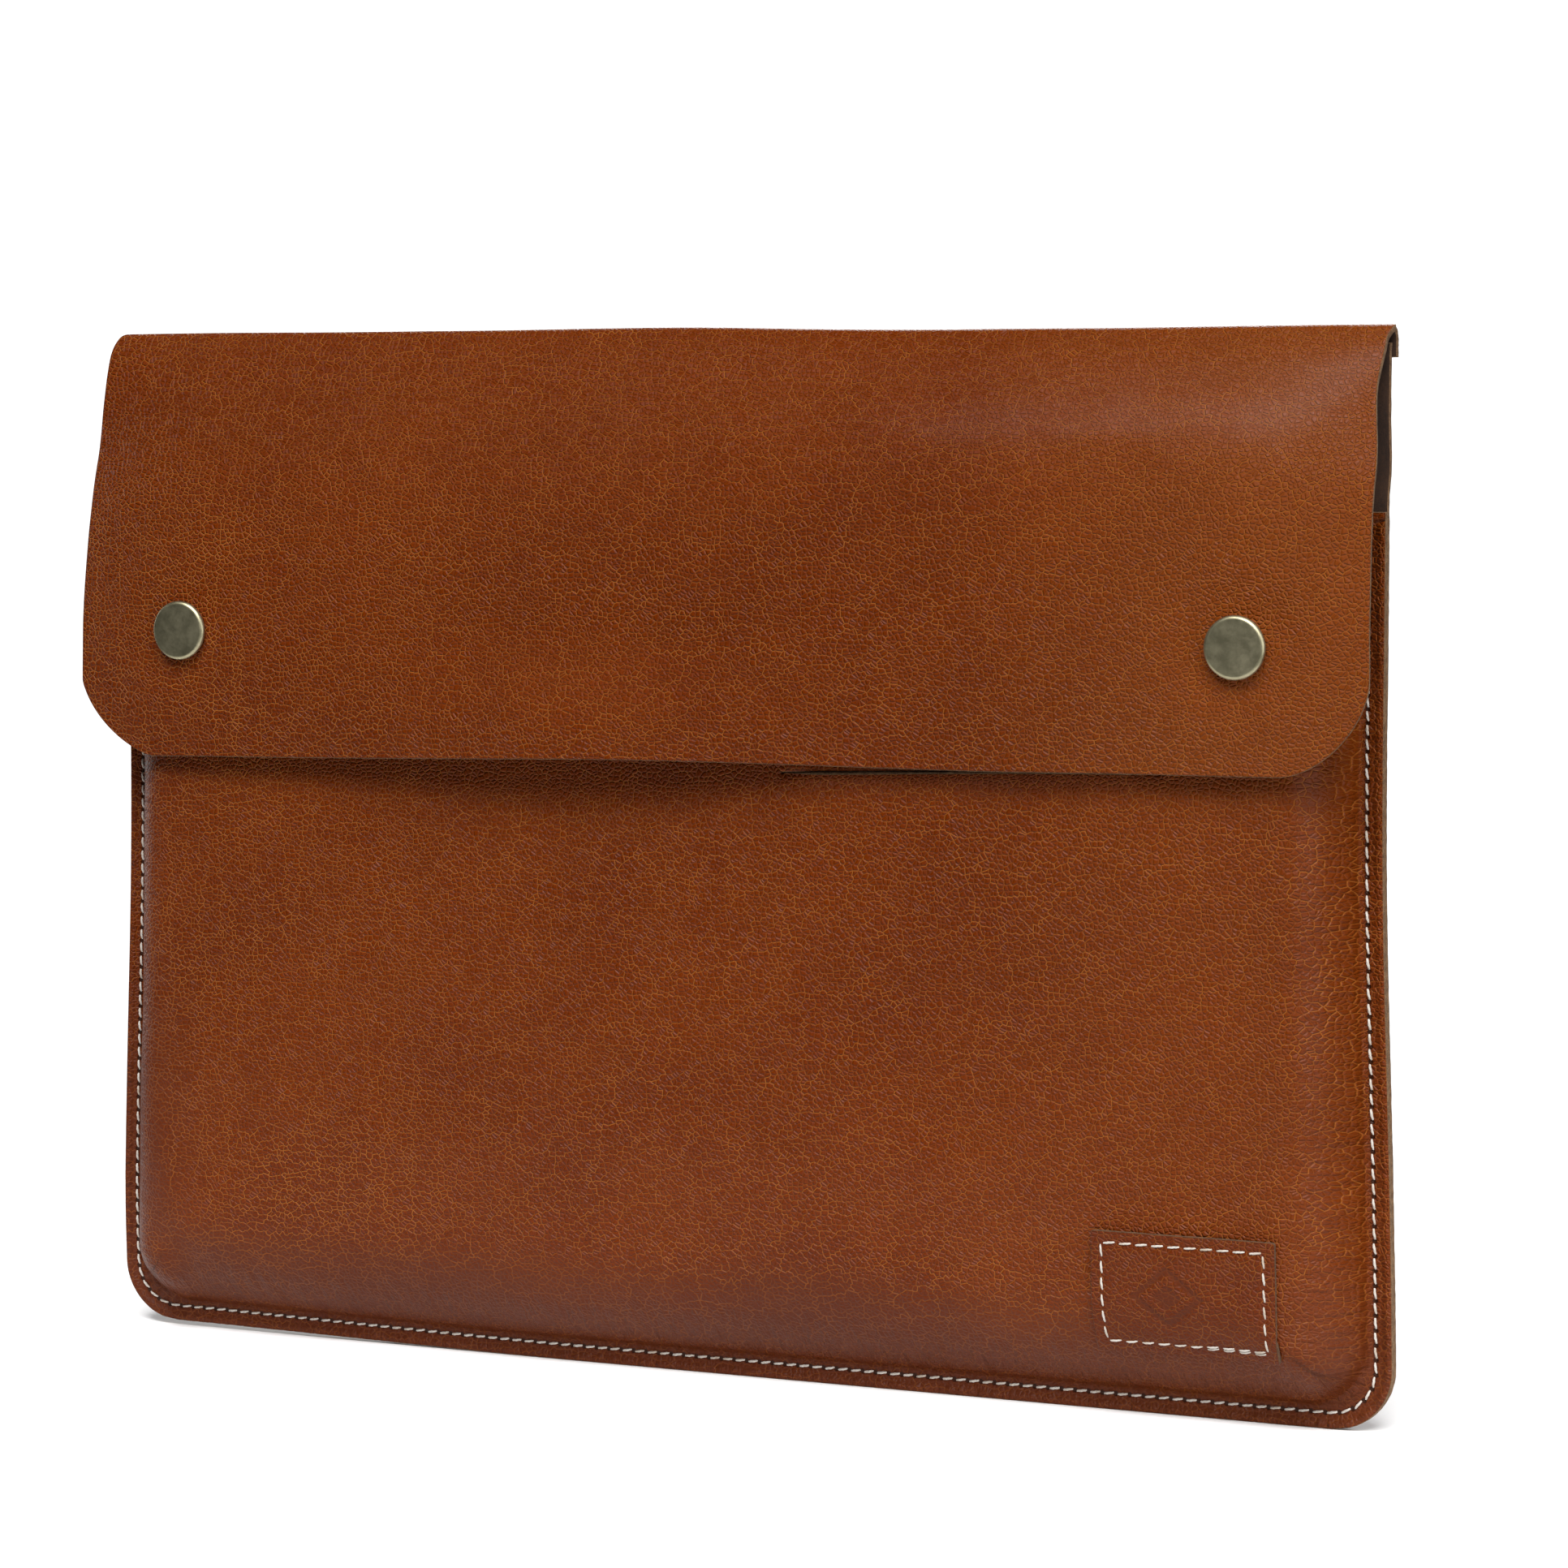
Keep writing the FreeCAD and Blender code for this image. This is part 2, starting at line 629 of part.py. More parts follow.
def patch_thread(label, forward):
    """Thread round the patch, from one depth forward by its thickness."""
    body = new_body(label, "patch_x", "patch_height")
    ring = new_sketch(body, label + "_ring", "XZ_Plane", forward)
    half_width = "patch_half_width - patch_inset"
    half_height = "patch_half_height - patch_inset"
    for name, edge in (("outer", " + thread / 2"), ("inner", " - thread / 2")):
        across = half_width + edge
        up = half_height + edge
        draw_rectangle(ring, name, "-(" + across + ")", "-(" + up + ")", across, up)
    pad(body, label + "_strand", ring, "thread")


seam_thread("body_seam_needle_thread", "flange_gap + leather + thread / 2 + thread_gap")
seam_thread("body_seam_bobbin_thread", "-leather - thread / 2 - thread_gap")
lap_row = "total_height - lap_drop + lap_stitch"
lap_end = "flap_half_top - seam_inset"
straight_thread("flap_seam_needle_thread", "-(" + lap_end + ")", lap_end, lap_row,
                "-lap_back - thread / 2 - thread_gap")
straight_thread("flap_seam_bobbin_thread", "-(" + lap_end + ")", lap_end, lap_row,
                "thread / 2 + thread_gap")
pocket_row = "slit_height + slit_stitch"
straight_thread("pocket_needle_thread", "slit_left", "slit_right", pocket_row,
                "bulge_face + thread / 2 + thread_gap")
straight_thread("pocket_bobbin_thread", "slit_left", "slit_right", pocket_row,
                "bulge_face - leather - flange_gap - bag_depth - thread / 2 - thread_gap")
patch_thread("patch_needle_thread", "bulge_face + patch_leather + thread_gap")
patch_thread("patch_bobbin_thread", "bulge_face - leather - thread - thread_gap")

# --------------------------------------------------------------------------
# Check and write
# --------------------------------------------------------------------------
doc.recompute()
for thing in doc.Objects:
    if "Invalid" in thing.State or "Error" in thing.State:
        raise ValueError(thing.Name + " is in state " + str(thing.State))

os.makedirs("parts", exist_ok=True)
for part in sub_parts:
    if part.Shape.isNull() or not part.Shape.isValid() or len(part.Shape.Solids) != 1:
        raise ValueError(part.Label + " is not one valid solid")
    part.Shape.exportStep("parts/" + part.Label + ".step")
    box = part.Shape.BoundBox
    print("%-28s x %8.2f %8.2f  y %7.2f %7.2f  z %7.2f %7.2f  volume %9.1f" % (
        part.Label, box.XMin, box.XMax, box.YMin, box.YMax, box.ZMin, box.ZMax, part.Shape.Volume))
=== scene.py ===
"""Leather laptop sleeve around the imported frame: thick leather sheets, sewn seams, press studs.

Lengths in this script are millimetres in the sleeve's own coordinates: across (+X), forward of
the side seam's plane, and up.  world() turns them into the frame's metres.
"""
import math
import bmesh
import bpy
import numpy as np
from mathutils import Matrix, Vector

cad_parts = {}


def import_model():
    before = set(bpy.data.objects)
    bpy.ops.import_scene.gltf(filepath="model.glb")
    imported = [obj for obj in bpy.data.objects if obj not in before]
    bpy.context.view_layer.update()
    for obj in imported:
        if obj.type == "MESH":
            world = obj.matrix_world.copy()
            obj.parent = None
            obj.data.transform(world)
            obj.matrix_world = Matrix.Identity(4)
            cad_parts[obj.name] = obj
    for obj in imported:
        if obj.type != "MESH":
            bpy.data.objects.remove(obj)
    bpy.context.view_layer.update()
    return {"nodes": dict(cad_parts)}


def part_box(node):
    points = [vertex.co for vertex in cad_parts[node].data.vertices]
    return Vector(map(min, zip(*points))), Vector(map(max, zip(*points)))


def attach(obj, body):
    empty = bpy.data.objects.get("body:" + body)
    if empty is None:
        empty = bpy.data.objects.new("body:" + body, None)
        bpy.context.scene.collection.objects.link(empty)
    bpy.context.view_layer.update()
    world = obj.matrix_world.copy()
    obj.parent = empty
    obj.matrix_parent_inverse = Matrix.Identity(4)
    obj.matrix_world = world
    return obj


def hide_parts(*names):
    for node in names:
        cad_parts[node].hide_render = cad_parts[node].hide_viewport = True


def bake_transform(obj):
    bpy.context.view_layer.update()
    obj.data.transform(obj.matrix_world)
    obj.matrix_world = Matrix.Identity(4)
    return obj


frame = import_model()

# ---- Named dimensions, from the frame where it has them ----
MM = 0.001
SEAM_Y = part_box("back_panel")[0][1]            # plane between the two panels, in metres


def low(node):
    """Lowest corner of a node in the sleeve's millimetres: across, forward, up."""
    near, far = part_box(node)
    return np.array([near[0] / MM, (SEAM_Y - far[1]) / MM, near[2] / MM])


def high(node):
    """Highest corner of a node in the sleeve's millimetres."""
    near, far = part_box(node)
    return np.array([far[0] / MM, (SEAM_Y - near[1]) / MM, far[2] / MM])


LEATHER = -low("back_panel")[1]                # thickness of the panels' leather
BODY_HALF = high("back_panel")[0]
BACK_TOP = high("back_panel")[2]
FRONT_TOP = high("front_panel")[2]
FACE = high("front_panel")[1]                  # front panel's face ahead of the seam plane
FLANGE = 0.1 + LEATHER                         # grain side of the front panel's flange
FLAP_HALF = high("flap")[0]
FLAP_LOW = low("flap")[2]
FLAP_FACE = high("flap")[1]
TOP = high("flap")[2]
FOLD_HALF = high("flap_fold_strip")[0]
LAP_BACK = -low("flap_fold_strip")[1]          # strip's grain side behind the seam plane
LAP_LOW = low("flap_fold_strip")[2]
SEAM_INSET = BODY_HALF - high("body_seam_needle_thread")[0] + 0.3
SEAM_TOP = high("body_seam_needle_thread")[2]
LAP_ROW = (low("flap_seam_needle_thread")[2] + high("flap_seam_needle_thread")[2]) / 2
LAP_ROW_HALF = high("flap_seam_needle_thread")[0]
POCKET_ROW = (low("pocket_needle_thread")[2] + high("pocket_needle_thread")[2]) / 2
SLIT_LEFT = low("pocket_needle_thread")[0]
SLIT_RIGHT = high("pocket_needle_thread")[0]
SLIT_Z = POCKET_ROW - 3.0                      # slit, just below the row that holds its pocket
SNAP_X = (low("right_snap_cap")[0] + high("right_snap_cap")[0]) / 2
SNAP_Z = (low("right_snap_cap")[2] + high("right_snap_cap")[2]) / 2
CAP_RADIUS = (high("right_snap_cap")[0] - low("right_snap_cap")[0]) / 2
PATCH_LOW = low("name_patch")
PATCH_HIGH = high("name_patch")
BODY_CORNER = 15.0
SEAM_CORNER = BODY_CORNER - SEAM_INSET
STITCH = 3.5                                   # pitch of the machine stitches
THREAD = 0.60                                  # thickness of the sewing thread
FOLD_RADIUS = 2.45                             # of the leather's middle line
FOLD_TURN = 0.78 * math.pi                     # from straight up to leaning forward and down
STEP = 1.5                   # size of the sheets' mesh cells
SKIN_UNIT = 100.0                              # millimetres in one unit of a sheet's flat coordinates
FAR_OFF = 50.0                                 # stitch coordinate of leather far from any seam
FLESH_SHIFT = (3.7, 1.9)                       # flat coordinates of the flesh side, from the grain side's
RING_GAP = 0.5                                 # height of one ring of the cut edge in flat coordinates
PLAIN_ZONE = 0.3                               # calm and open share of leather that has no zones
FOLD_STEP = 0.35             # mesh cells along the flap's fold


# ---- Smooth repeatable noise over the sheets ----
def noise(a, b, size, seed):
    """Smooth value noise of the given feature size, from about -1 to 1."""
    cells = 64                                 # cells along a side of the table before it repeats
    table = np.random.default_rng(seed).uniform(-1, 1, (cells, cells))
    a = np.asarray(a, float) / size + 17.3
    b = np.asarray(b, float) / size + 9.1
    cell_a, cell_b = np.floor(a).astype(int), np.floor(b).astype(int)
    part_a, part_b = a - cell_a, b - cell_b
    part_a = part_a ** 3 * (part_a * (part_a * 6 - 15) + 10)
    part_b = part_b ** 3 * (part_b * (part_b * 6 - 15) + 10)

    def at(i, j):
        return table[(cell_a + i) % cells, (cell_b + j) % cells]
    lower = at(0, 0) * (1 - part_a) + at(1, 0) * part_a
    upper = at(0, 1) * (1 - part_a) + at(1, 1) * part_a
    return lower * (1 - part_b) + upper * part_b


def ramp(value, start, end):
    """Smooth step from 0 at start to 1 at end."""
    share = np.clip((np.asarray(value, float) - start) / (end - start), 0, 1)
    return share * share * (3 - 2 * share)


def hump(value, middle, width):
    """Bell of height 1."""
    return np.exp(-((np.asarray(value, float) - middle) / width) ** 2)


# ---- Shapes of the three leather panels ----
def waist(across, up):
    """Share of the full width: stuffed panels pull the sides in above the base, the left less."""
    up = np.asarray(up, float)
    pulled = 0.0205 * ramp(up, -12, 168) + 0.002 * hump(up, 120, 40)
    return 1 - pulled + 0.011 * ramp(-np.asarray(across, float), 40, BODY_HALF) * ramp(up, -20, 40)


def edge_distance(across, up):
    """Distance to the body's outline at the sides and the bottom, positive inside."""
    corner = BODY_CORNER + 6
    side = BODY_HALF - np.abs(across)
    below = np.asarray(up, float)
    flat = np.minimum(side, below)
    to_side, to_low = corner - side, corner - below
    round_part = corner - np.hypot(np.maximum(to_side, 0), np.maximum(to_low, 0))
    return np.where((to_side > 0) & (to_low > 0), round_part, flat)


def bulge(across, up):
    """Front panel's grain side ahead of the seam plane."""
    distance = edge_distance(across, up)
    low_share = 1 - ramp(up, 20, 60)
    rise_over = 17.0 + 13.0 * low_share * ramp(BODY_HALF - np.abs(across), 5, 40)
    start = 5.6
    share = np.clip((distance - start) / rise_over, 0, 1)
    soft = np.clip((distance - start + 1.5) / 3.0, 0, 1)
    shoulder = 1 - (1 - share) ** 2.35
    lift = (FACE - FLANGE) * shoulder * (0.35 + 0.65 * soft)
    crown = 1.3 * (1 - (across / SNAP_X) ** 2) * (1 - ((up - 110) / 190) ** 2)
    crown = crown * ramp(distance, 25, 60)
    waves = 0.55 * noise(across, up, 70, 3) + 0.25 * noise(across, up, 26, 4)
    pucker = 0.10 * noise(across, up, 9, 5)
    away = ramp(np.hypot(np.abs(across) - SNAP_X, up - SNAP_Z), 6, 24)
    full = ramp(distance, 8, 30)
    slack = ramp(distance, 4, 9) * (1 - ramp(distance, 14, 34))
    sag = 0.7 * slack * noise(across * 0.6, up, 22, 6)
    corner_dent = -2.2 * hump(np.hypot(across + BODY_HALF - 24, up - 19), 0, 9)
    slit_lip = 0.5 * hump(up, SLIT_Z + 1.5, 3.0) * ramp(across, SLIT_LEFT - 8, SLIT_LEFT + 10)
    slit_lip = slit_lip * (1 - ramp(across, SLIT_RIGHT - 10, SLIT_RIGHT + 8))
    return FLANGE + lift + crown + (waves + pucker) * full * away + sag + corner_dent + slit_lip


def back_face(across, up):
    """Back panel's flesh side ahead of the seam plane."""
    inside = ramp(edge_distance(across, up), 5, 50) * (1 - 0.6 * ramp(up, 215, 250))
    swell = -1.5 * inside * (1 + 0.35 * noise(across, up, 80, 11))
    return swell - 0.18 * inside * noise(across, up, 24, 12)


def flap_line():
    """Middle line of the flap's leather, from the lap's cut end over the fold to the lower edge."""
    half = LEATHER / 2
    rear = -(LAP_BACK - half)
    radius = FOLD_RADIUS
    middle, base = rear + radius, TOP - half - radius
    points = [(rear, height) for height in np.linspace(LAP_LOW, base, 6)[:-1]]
    for turn in np.linspace(0, FOLD_TURN, 13):
        points.append((middle - radius * math.cos(turn), base + radius * math.sin(turn)))
    knots = np.array([points[-1], (4.3, 252.0), (7.8, 246.4), (12.2, 238.6), (16.0, 230.4),
                      (19.2, 221.2), (21.4, 210.5), (22.6, 198.5), (FLAP_FACE - half, SNAP_Z),
                      (FLAP_FACE - half, 168.0), (22.7, FLAP_LOW)])
    points += list(smooth_line(knots, 14)[1:])
    return np.array(points)


def smooth_line(knots, steps):
    """Catmull-Rom curve through the knots."""
    padded = np.vstack([2 * knots[0] - knots[1], knots, 2 * knots[-1] - knots[-2]])
    line = []
    for number in range(1, len(padded) - 2):
        a, b, c, d = padded[number - 1:number + 3]
        for share in np.linspace(0, 1, steps, endpoint=False):
            line.append(0.5 * (2 * b + (c - a) * share + (2 * a - 5 * b + 4 * c - d) * share ** 2
                               + (3 * b - a - 3 * c + d) * share ** 3))
    line.append(knots[-1])
    return np.array(line)


def resampled(line, spacing):
    """The line again with points at the given distances along it, and those distances."""
    along = np.concatenate([[0], np.cumsum(np.linalg.norm(np.diff(line, axis=0), axis=1))])
    at = spacing(along[-1])
    return np.stack([np.interp(at, along, line[:, k]) for k in range(2)], axis=1), at


# ---- Mesh tools ----
def world(points):
    """Sleeve millimetres (across, forward, up) to the frame's metres."""
    points = np.asarray(points, float)
    return np.stack([points[..., 0] * MM, SEAM_Y - points[..., 1] * MM, points[..., 2] * MM], axis=-1)


def make_object(name, points, faces, materials, slots=None, maps=None):
    """A smooth mesh object from points in the frame's metres; maps holds per-corner UVs by name."""
    mesh = bpy.data.meshes.new(name)
    mesh.from_pydata([tuple(p) for p in points], [], [list(map(int, face)) for face in faces])
    for material in materials:
        mesh.materials.append(material)
    if slots is not None:
        mesh.polygons.foreach_set("material_index", np.asarray(slots, np.int32))
    mesh.polygons.foreach_set("use_smooth", np.ones(len(faces), bool))
    for map_name, values in (maps or {}).items():
        layer = mesh.uv_layers.new(name=map_name)
        layer.data.foreach_set("uv", np.asarray(values, np.float32).ravel())
    mesh.update()
    piece = bpy.data.objects.new(name, mesh)
    bpy.context.scene.collection.objects.link(piece)
    return piece


def vertex_normals(points, quads):
    """Area-weighted normals of a quad mesh."""
    a, b, c, d = (points[quads[:, k]] for k in range(4))
    face = np.cross(c - a, d - b)
    normals = np.zeros_like(points)
    for k in range(4):
        np.add.at(normals, quads[:, k], face)
    return unit(normals, 1e-12)


def border_loops(quads):
    """Closed loops of vertices along the border of a quad mesh, in face order."""
    after = {}
    seen = set()
    for quad in quads:
        for k in range(4):
            seen.add((int(quad[k]), int(quad[(k + 1) % 4])))
    for a, b in seen:
        if (b, a) not in seen:
            after[a] = b
    loops = []
    while after:
        start = min(after)
        loop = [start]
        following = after.pop(start)
        while following != start:
            loop.append(following)
            following = after.pop(following)
        loops.append(np.array(loop))
    return loops


def unit(vectors, least=1e-9):
    """Rows at length 1."""
    return vectors / np.maximum(np.linalg.norm(vectors, axis=-1, keepdims=True), least)


def per_point(*parts):
    """One row per point from grids of coordinates, or per quad from grids of corners."""
    return np.stack(parts, axis=-1).reshape(-1, len(parts))


def flat_skin(across, up, corner):
    """Flat coordinates of a sheet cut from the hide at the given corner."""
    return per_point(across, up) / SKIN_UNIT + corner


def leather_sheet(name, grain, quads, skin, materials, thickness=LEATHER, seam=None, zone=None, seed=0,
                  skive=0.0):
    """A closed sheet of leather from its grain side: grain face, flesh face and rounded cut edge.

    grain: points in millimetres, quads wound so that their normals point out of the grain side.
    skin: flat coordinates of the leather for each point; seam: stitch coordinates; zone: how
    calm and how open the grain is, which also sets where sheen is painted; skive: millimetres cut back from
    the grain side's edge.
    """
    points = world(grain) / MM
    normals = vertex_normals(points, quads)
    loops = border_loops(quads)
    bevel = min(0.2, thickness * 0.16)
    rng = np.random.default_rng(seed)
    outward = np.zeros_like(points)
    for loop in loops:
        ahead = points[np.roll(loop, -1)] - points[loop]
        behind = points[loop] - points[np.roll(loop, 1)]
        outward[loop] = unit(np.cross(unit(ahead) + unit(behind), normals[loop]))
    grain_side = points - outward * (bevel + np.reshape(skive, (-1, 1)))
    flesh_side = points - normals * thickness - outward * bevel
    count = len(points)
    all_points = [grain_side, flesh_side]
    flesh_quads = quads[:, ::-1]
    faces = [quads, flesh_quads + count]
    slots = [np.zeros(len(quads)), np.ones(len(quads))]
    seam = np.full((count, 2), FAR_OFF) if seam is None else seam
    zone = np.full((count, 2), PLAIN_ZONE) if zone is None else zone
    corner_skin, corner_seam, corner_zone = (
        [values[quads].reshape(-1, 2), values[flesh_quads].reshape(-1, 2)] for values in (skin, seam, zone))
    corner_skin[1] = corner_skin[1] + FLESH_SHIFT
    used = 2 * count
    levels = (0.16, 0.5, 0.84)                 # rings of the cut edge, as shares of the thickness
    for loop in loops:
        size = len(loop)
        span = np.linalg.norm(points[np.roll(loop, -1)] - points[loop], axis=1)
        along = np.concatenate([[0], np.cumsum(span)]) / SKIN_UNIT
        rough = rng.uniform(-1, 1, (len(levels), size))
        rings = [loop]
        for number, level in enumerate(levels):
            jut = 0.05 * rough[number] - (0.02 if level == 0.5 else 0.06)
            ring = points[loop] - normals[loop] * thickness * level + outward[loop] * jut[:, None]
            all_points.append(ring)
            rings.append(np.arange(used, used + size))
            used += size
        rings.append(loop + count)
        following = np.roll(np.arange(size), -1)
        for number, (upper, lower) in enumerate(zip(rings[:-1], rings[1:])):
            faces.append(np.stack([upper[following], upper, lower, lower[following]], axis=1))
            slots.append(np.full(size, 2))
            flat = np.zeros((size, 4, 2))
            flat[:, (0, 3), 0] = along[1:, None]
            flat[:, (1, 2), 0] = along[:-1, None]
            flat[:, :2, 1] = number * RING_GAP / SKIN_UNIT
            flat[:, 2:, 1] = (number + 1) * RING_GAP / SKIN_UNIT
            corner_skin.append(flat.reshape(-1, 2))
            corner_seam.append(np.full((size * 4, 2), FAR_OFF))
            corner_zone.append(np.full((size * 4, 2), PLAIN_ZONE))
    maps = {"skin": np.concatenate(corner_skin), "seam": np.concatenate(corner_seam),
            "zone": np.concatenate(corner_zone)}
    return make_object(name, np.concatenate(all_points) * MM, np.concatenate(faces), materials,
                       np.concatenate(slots), maps)


def graded(start, end, step, fine, reach):
    """Positions from start to end, finer within the two reaches of its ends."""
    length = end - start
    dense = np.linspace(0, length, 4000)
    weight = np.ones_like(dense)
    for distance, side_reach in zip((dense, length - dense), reach):
        if side_reach:
            weight += (1 / fine - 1) * (1 - ramp(distance, 0.6 * side_reach, side_reach + 1e-6))
    total = np.concatenate([[0], np.cumsum((weight[1:] + weight[:-1]) / 2)])
    count = max(8, int(round(length / step * weight.mean())))
    return start + np.interp(np.linspace(0, total[-1], count + 1), total, dense)


def grid_quads(rows, columns, flip=False):
    """Quads of a rows x columns grid of points."""
    index = np.arange(rows * columns).reshape(rows, columns)
    quads = per_point(index[:-1, :-1], index[:-1, 1:], index[1:, 1:], index[1:, :-1])
    return quads[:, ::-1] if flip else quads


def tube_faces(rings, around, first=0):
    """Quads between rings of points, then the two end faces."""
    index = first + np.arange(rings * around).reshape(rings, around)
    following = np.roll(index, -1, axis=1)
    sides = per_point(index[:-1], following[:-1], following[1:], index[1:])
    return sides.tolist() + [index[0][::-1].tolist(), index[-1].tolist()]


def seam_coordinates(across, up):
    """Stitch coordinates beside the body seam: stitches along it, millimetres off it."""
    side = BODY_HALF - SEAM_INSET
    centre_x, centre_z = side - SEAM_CORNER, SEAM_INSET + SEAM_CORNER
    x = np.abs(across)
    quarter = SEAM_CORNER * math.pi / 2
    turn = np.arctan2(x - centre_x, np.maximum(centre_z - up, 1e-6))
    in_corner = (x > centre_x) & (up < centre_z)
    along_corner = centre_x + SEAM_CORNER * turn
    off_corner = SEAM_CORNER - np.hypot(x - centre_x, up - centre_z)
    on_side = up >= centre_z
    near_side = (side - x) < (up - SEAM_INSET)
    along_side = centre_x + quarter + (up - centre_z)
    along = np.where(in_corner, along_corner, np.where(on_side & near_side, along_side, x))
    off = np.where(in_corner, off_corner, np.where(on_side & near_side, side - x, up - SEAM_INSET))
    off = off + 4.0 * np.maximum(up - SEAM_TOP - 1.0, 0)
    return np.stack([np.sign(across) * along / STITCH, off], axis=-1)


def zones(across, up, calm, sheen_share=0.14):
    """Calm and open shares of the grain: open on the left, below 0 on the right, where a lighter sheen is
    painted.
    """
    open_and_sheen = 1 - ramp(across + 22 * noise(across, up, 60, 81), -150, 20)
    open_and_sheen = np.clip(open_and_sheen * (0.75 + 0.4 * noise(across, up, 40, 82)), 0, 1)
    # painted sheen: the open share drops below 0 towards the right, where the ground is painted lighter
    open_and_sheen = open_and_sheen - sheen_share * ramp(across + 14 * noise(across, up, 50, 83), 50, 150)
    return per_point(np.clip(calm, 0, 1) + 0 * across, open_and_sheen)


def rise(across, up):
    """How far flat points climb: the slit towards the right, and the lower left corner."""
    up = np.asarray(up, float)
    slit = hump(up, SLIT_Z, 26) * (2.9 * ramp(across, -10, SLIT_RIGHT) - 0.5)
    corner = 1.3 * ramp(-np.asarray(across, float), 40, BODY_HALF) * (1 - ramp(up, 0, 110))
    return slit + corner


def body_point(across, up):
    """Where a flat point of the body lies once the sides have pulled in."""
    return across * waist(across, up), up + rise(across, up)


# ---- Node material helpers ----
PEBBLES = 78.0                                 # pebbles of the grain over one unit of flat leather


class Nodes:
    """A node tree with short calls for the nodes that the materials need."""

    def __init__(self, name):
        self.material = bpy.data.materials.new(name)
        self.material.use_nodes = True
        self.tree = self.material.node_tree
        self.shader = self.tree.nodes["Principled BSDF"]

    def feed(self, socket, value):
        """Link a socket to another node's output, or set its constant."""
        if isinstance(value, bpy.types.NodeSocket):
            self.tree.links.new(value, socket)
        else:
            socket.default_value = value

    def add(self, kind, inputs=None, **settings):
        node = self.tree.nodes.new("ShaderNode" + kind)
        for key, value in settings.items():
            setattr(node, key, value)
        for key, value in (inputs or {}).items():
            self.feed(node.inputs[key], value)
        return node

    def flat(self, name):
        return self.add("UVMap", uv_map=name).outputs["UV"]

    def object_place(self):
        return self.add("TexCoord").outputs["Object"]

    def scaled(self, vector, scale, offset=(0, 0, 0), turn=(0, 0, 0)):
        return self.add("Mapping", {"Vector": vector, "Scale": scale, "Location": offset,
                                    "Rotation": turn}).outputs["Vector"]

    def noise(self, vector, scale, detail, rough, colour=False):
        inputs = {"Vector": vector, "Scale": scale, "Detail": detail, "Roughness": rough}
        return self.add("TexNoise", inputs).outputs["Color" if colour else "Fac"]

    def cells(self, vector, scale, feature="F1", output="Distance"):
        node = self.add("TexVoronoi", {"Vector": vector, "Scale": scale}, feature=feature,
                        voronoi_dimensions="2D")
        return node.outputs[output]

    def maths(self, operation, *values):
        return self.add("Math", dict(enumerate(values)), operation=operation).outputs[0]

    def times(self, a, b):
        return self.maths("MULTIPLY", a, b)

    def plus(self, a, b, c):
        """a times b, plus c."""
        return self.maths("MULTIPLY_ADD", a, b, c)

    def vector_add(self, a, b):
        return self.add("VectorMath", {0: a, 1: b}, operation="ADD").outputs[0]

    def vector_scale(self, a, scale):
        return self.add("VectorMath", {0: a, "Scale": scale}, operation="SCALE").outputs[0]

    def span(self, value, from_low, from_high, to_low=0.0, to_high=1.0, smooth=True):
        node = self.add("MapRange", {"Value": value, "From Min": from_low, "From Max": from_high,
                                     "To Min": to_low, "To Max": to_high})
        node.interpolation_type = "SMOOTHSTEP" if smooth else "LINEAR"
        return node.outputs["Result"]

    def mix(self, share, a, b):
        a, b = ((*colour, 1.0) if isinstance(colour, tuple) else colour for colour in (a, b))
        node = self.tree.nodes.new("ShaderNodeMix")
        node.data_type = "RGBA"
        for key, value in ((0, share), (6, a), (7, b)):
            self.feed(node.inputs[key], value)
        return node.outputs[2]

    def bump(self, height, strength, distance):
        return self.add("Bump", {"Height": height, "Strength": strength, "Distance": distance}).outputs[0]

    def finish(self, colour, roughness=None, normal=None, **constants):
        for key, value in (("Base Color", colour), ("Roughness", roughness), ("Normal", normal)):
            if value is not None:
                self.feed(self.shader.inputs[key], value)
        for key, value in constants.items():
            self.shader.inputs[key.replace("_", " ")].default_value = value
        return self.material


def shade(colour, share):
    """A colour made darker or lighter."""
    return tuple(min(1, channel * share) for channel in colour)


